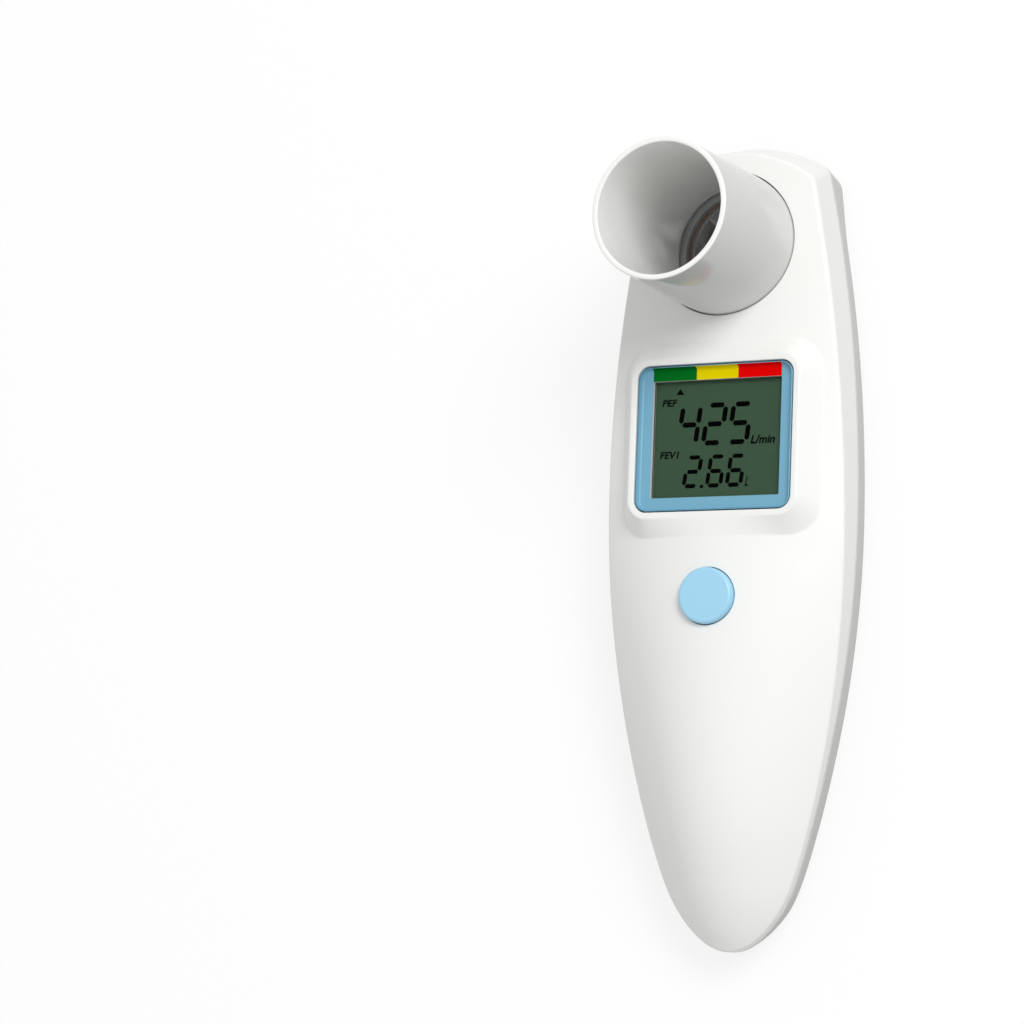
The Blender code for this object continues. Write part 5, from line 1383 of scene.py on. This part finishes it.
def legend(name, words, left, low, right, high, lean):
    """A legend in slanted letters, fitted to its place on the field."""
    text = bpy.data.curves.new(name, "FONT")
    text.body = words
    text.offset = 0.03
    text.extrude = 0.01
    scratch = bpy.data.objects.new(name, text)
    bpy.context.scene.collection.objects.link(scratch)
    bm = evaluated(scratch)
    bpy.data.objects.remove(scratch)
    x0, x1 = min(v.co.x for v in bm.verts), max(v.co.x for v in bm.verts)
    y0, y1 = min(v.co.y for v in bm.verts), max(v.co.y for v in bm.verts)
    height = (high - low) * MM
    width = (right - left) * MM - lean * height
    for v in bm.verts:
        y = (v.co.y - y0) / (y1 - y0) * height
        x = (v.co.x - x0) / (x1 - x0) * width + lean * y
        v.co = (left * MM + x, DISPLAY_Y + low * MM + y, PLATE_HIGH if v.co.z > 0 else PLATE_LOW)
    return finish(name, bm, [segment_black], "meter")


display_figures()
legend("legend_peak_flow", "PEF", -12.45, 6.85, -9.05, 8.25, 0.2)
legend("legend_flow_unit", "L/min", 6.95, -1.3, 12.3, 0.45, 0.2)
legend("legend_volume", "FEV1", -12.55, -3.7, -8.35, -2.25, 0.2)
legend("legend_volume_unit", "L", 5.95, -9.65, 6.95, -7.8, 0.2)

# %% [markdown]
# ## Button
# A flat round cap with a soft edge. It stands a little proud of the case and shows a thin dark gap
# all round. It is turned, and its skirt and flange stay under the case.

# %% Button cap


def button():
    radius, flange, soft = BUTTON_RADIUS, 7.0 * MM, 0.7 * MM
    low, high, top = 21.4 * MM, 22.0 * MM, 26.2 * MM
    profile = [(0.0, low), (flange, low), (flange, high), (radius, high)]
    profile += quarter_round((radius, top), (radius, top - soft), (radius - soft, top - 0.02 * MM), 8)
    profile += [(radius / 2, top), (0.0, top + 0.01 * MM)]
    return finish("button", turned(profile, 96, (0.0, BUTTON_Y)), [sky_blue_abs], "button",
                  ["button_cap"])


button()

# %% [markdown]
# ## Parts that keep their solid shape
# The flat parts inside, such as the board, the holder and the contact plates, already have the right
# shape, so only their finish changes.

# %% Finishes on the solid parts
FINISHES = {
    "light_emitter": water_clear_resin, "light_receiver": dark_resin, "display_holder": natural_abs,
    "contact_strip_top": zebra_rubber, "contact_strip_bottom": zebra_rubber, "circuit_board": green_mask,
    "processor_chip": moulding_epoxy, "button_switch": matt_black_abs, "switch_plunger": white_acetal,
    "contact_bridge": nickel_plate, "contact_left": nickel_plate, "contact_right": nickel_plate,
}
for node_name, finish_material in FINISHES.items():
    node_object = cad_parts[node_name]
    node_object.data.materials.clear()
    node_object.data.materials.append(finish_material)
print("finished nodes:", sorted(FINISHES))

# %% [markdown]
# ## Floor, light and camera
# A pale floor carries the meter. What the camera sees of it is mostly a plain white of strength 1,
# with a fifth of the real, lit floor left in, so that the background is white and the meter's soft
# shadow stays. Light that only bounces off the floor meets a light grey, as in a studio whose white
# sweep is small. One broad soft light stands at the upper right, where the white face is brightest,
# and an even sky fills the rest, so that colours come out about as written.

# %% Floor
SHOWN_WHITE = 0.8


def studio_floor():
    """White where it is seen directly, mirrored or through glass; light grey to all other light."""
    material, tree, shader, place = new_material("white_paper_floor")
    lit = add(tree, "ShaderNodeBsdfDiffuse",
              {"Color": blend(tree, noise(tree, place, 4, 3.0), "#fdfdfd", "#fbfbfb")})
    white = add(tree, "ShaderNodeEmission", {"Color": (1.0, 1.0, 1.0, 1.0), "Strength": 1.0})
    shown = add(tree, "ShaderNodeMixShader", {0: SHOWN_WHITE, 1: lit.outputs[0], 2: white.outputs[0]})
    ray = add(tree, "ShaderNodeLightPath")
    mirrored = add(tree, "ShaderNodeMath", {0: ray.outputs["Is Camera Ray"],
                                            1: ray.outputs["Is Glossy Ray"]}, operation="ADD")
    direct = add(tree, "ShaderNodeMath", {0: mirrored.outputs[0], 1: ray.outputs["Is Transmission Ray"]},
                 operation="ADD", use_clamp=True)
    fill(tree, shader, {"Base Color": linear("#a4a4a4"), "Roughness": 0.9})
    split = add(tree, "ShaderNodeMixShader", {0: direct.outputs[0], 1: shader.outputs[0],
                                              2: shown.outputs[0]})
    fill(tree, tree.nodes["Material Output"], {"Surface": split.outputs[0]})
    return material


def pale_floor():
    bm = bmesh.new()
    bmesh.ops.create_grid(bm, x_segments=1, y_segments=1, size=3.0)
    bmesh.ops.translate(bm, vec=(0, 0, -0.0002), verts=bm.verts)
    mesh = bpy.data.meshes.new("pale_floor")
    bm.to_mesh(mesh)
    bm.free()
    mesh.materials.append(studio_floor())
    floor = bpy.data.objects.new("pale_floor", mesh)
    bpy.context.scene.collection.objects.link(floor)
    return floor


pale_floor()

# %% Lamps and sky
SCENE = bpy.context.scene
SCENE.view_settings.view_transform = "Standard"
world = bpy.data.worlds.new("even_sky")
world.use_nodes = True
world.node_tree.nodes["Background"].inputs["Color"].default_value = (1.0, 1.0, 1.0, 1.0)
world.node_tree.nodes["Background"].inputs["Strength"].default_value = 0.62
SCENE.world = world


def soft_lamp(name, place, goal, size, watts):
    lamp = bpy.data.lights.new(name, "AREA")
    lamp.shape = "DISK"
    lamp.size = size
    lamp.energy = watts
    holder = bpy.data.objects.new(name, lamp)
    holder.location = place
    holder.rotation_euler = (Vector(goal) - Vector(place)).to_track_quat("-Z", "Y").to_euler()
    SCENE.collection.objects.link(holder)
    return holder


soft_lamp("key_softbox", (0.75, 0.5, 0.95), (0.0, 0.0, 0.02), 0.7, 10.5)

# %% Camera
camera = bpy.data.cameras.new("studio_camera")
camera.lens = 114.2
camera.sensor_width = 36.0
camera.clip_start = 0.01
holder = bpy.data.objects.new("studio_camera", camera)
ahead = Vector((-0.46323, 0.14164, -0.87485)).normalized()
right = Vector((0.88578, 0.04163, -0.46226)).normalized()
above = right.cross(ahead)
turned_view = Matrix((right, above, -ahead)).transposed().to_4x4()
holder.matrix_world = Matrix.Translation((0.26016, -0.08724, 0.59857)) @ turned_view
SCENE.collection.objects.link(holder)
SCENE.camera = holder
print("camera at", [round(v, 3) for v in holder.location])
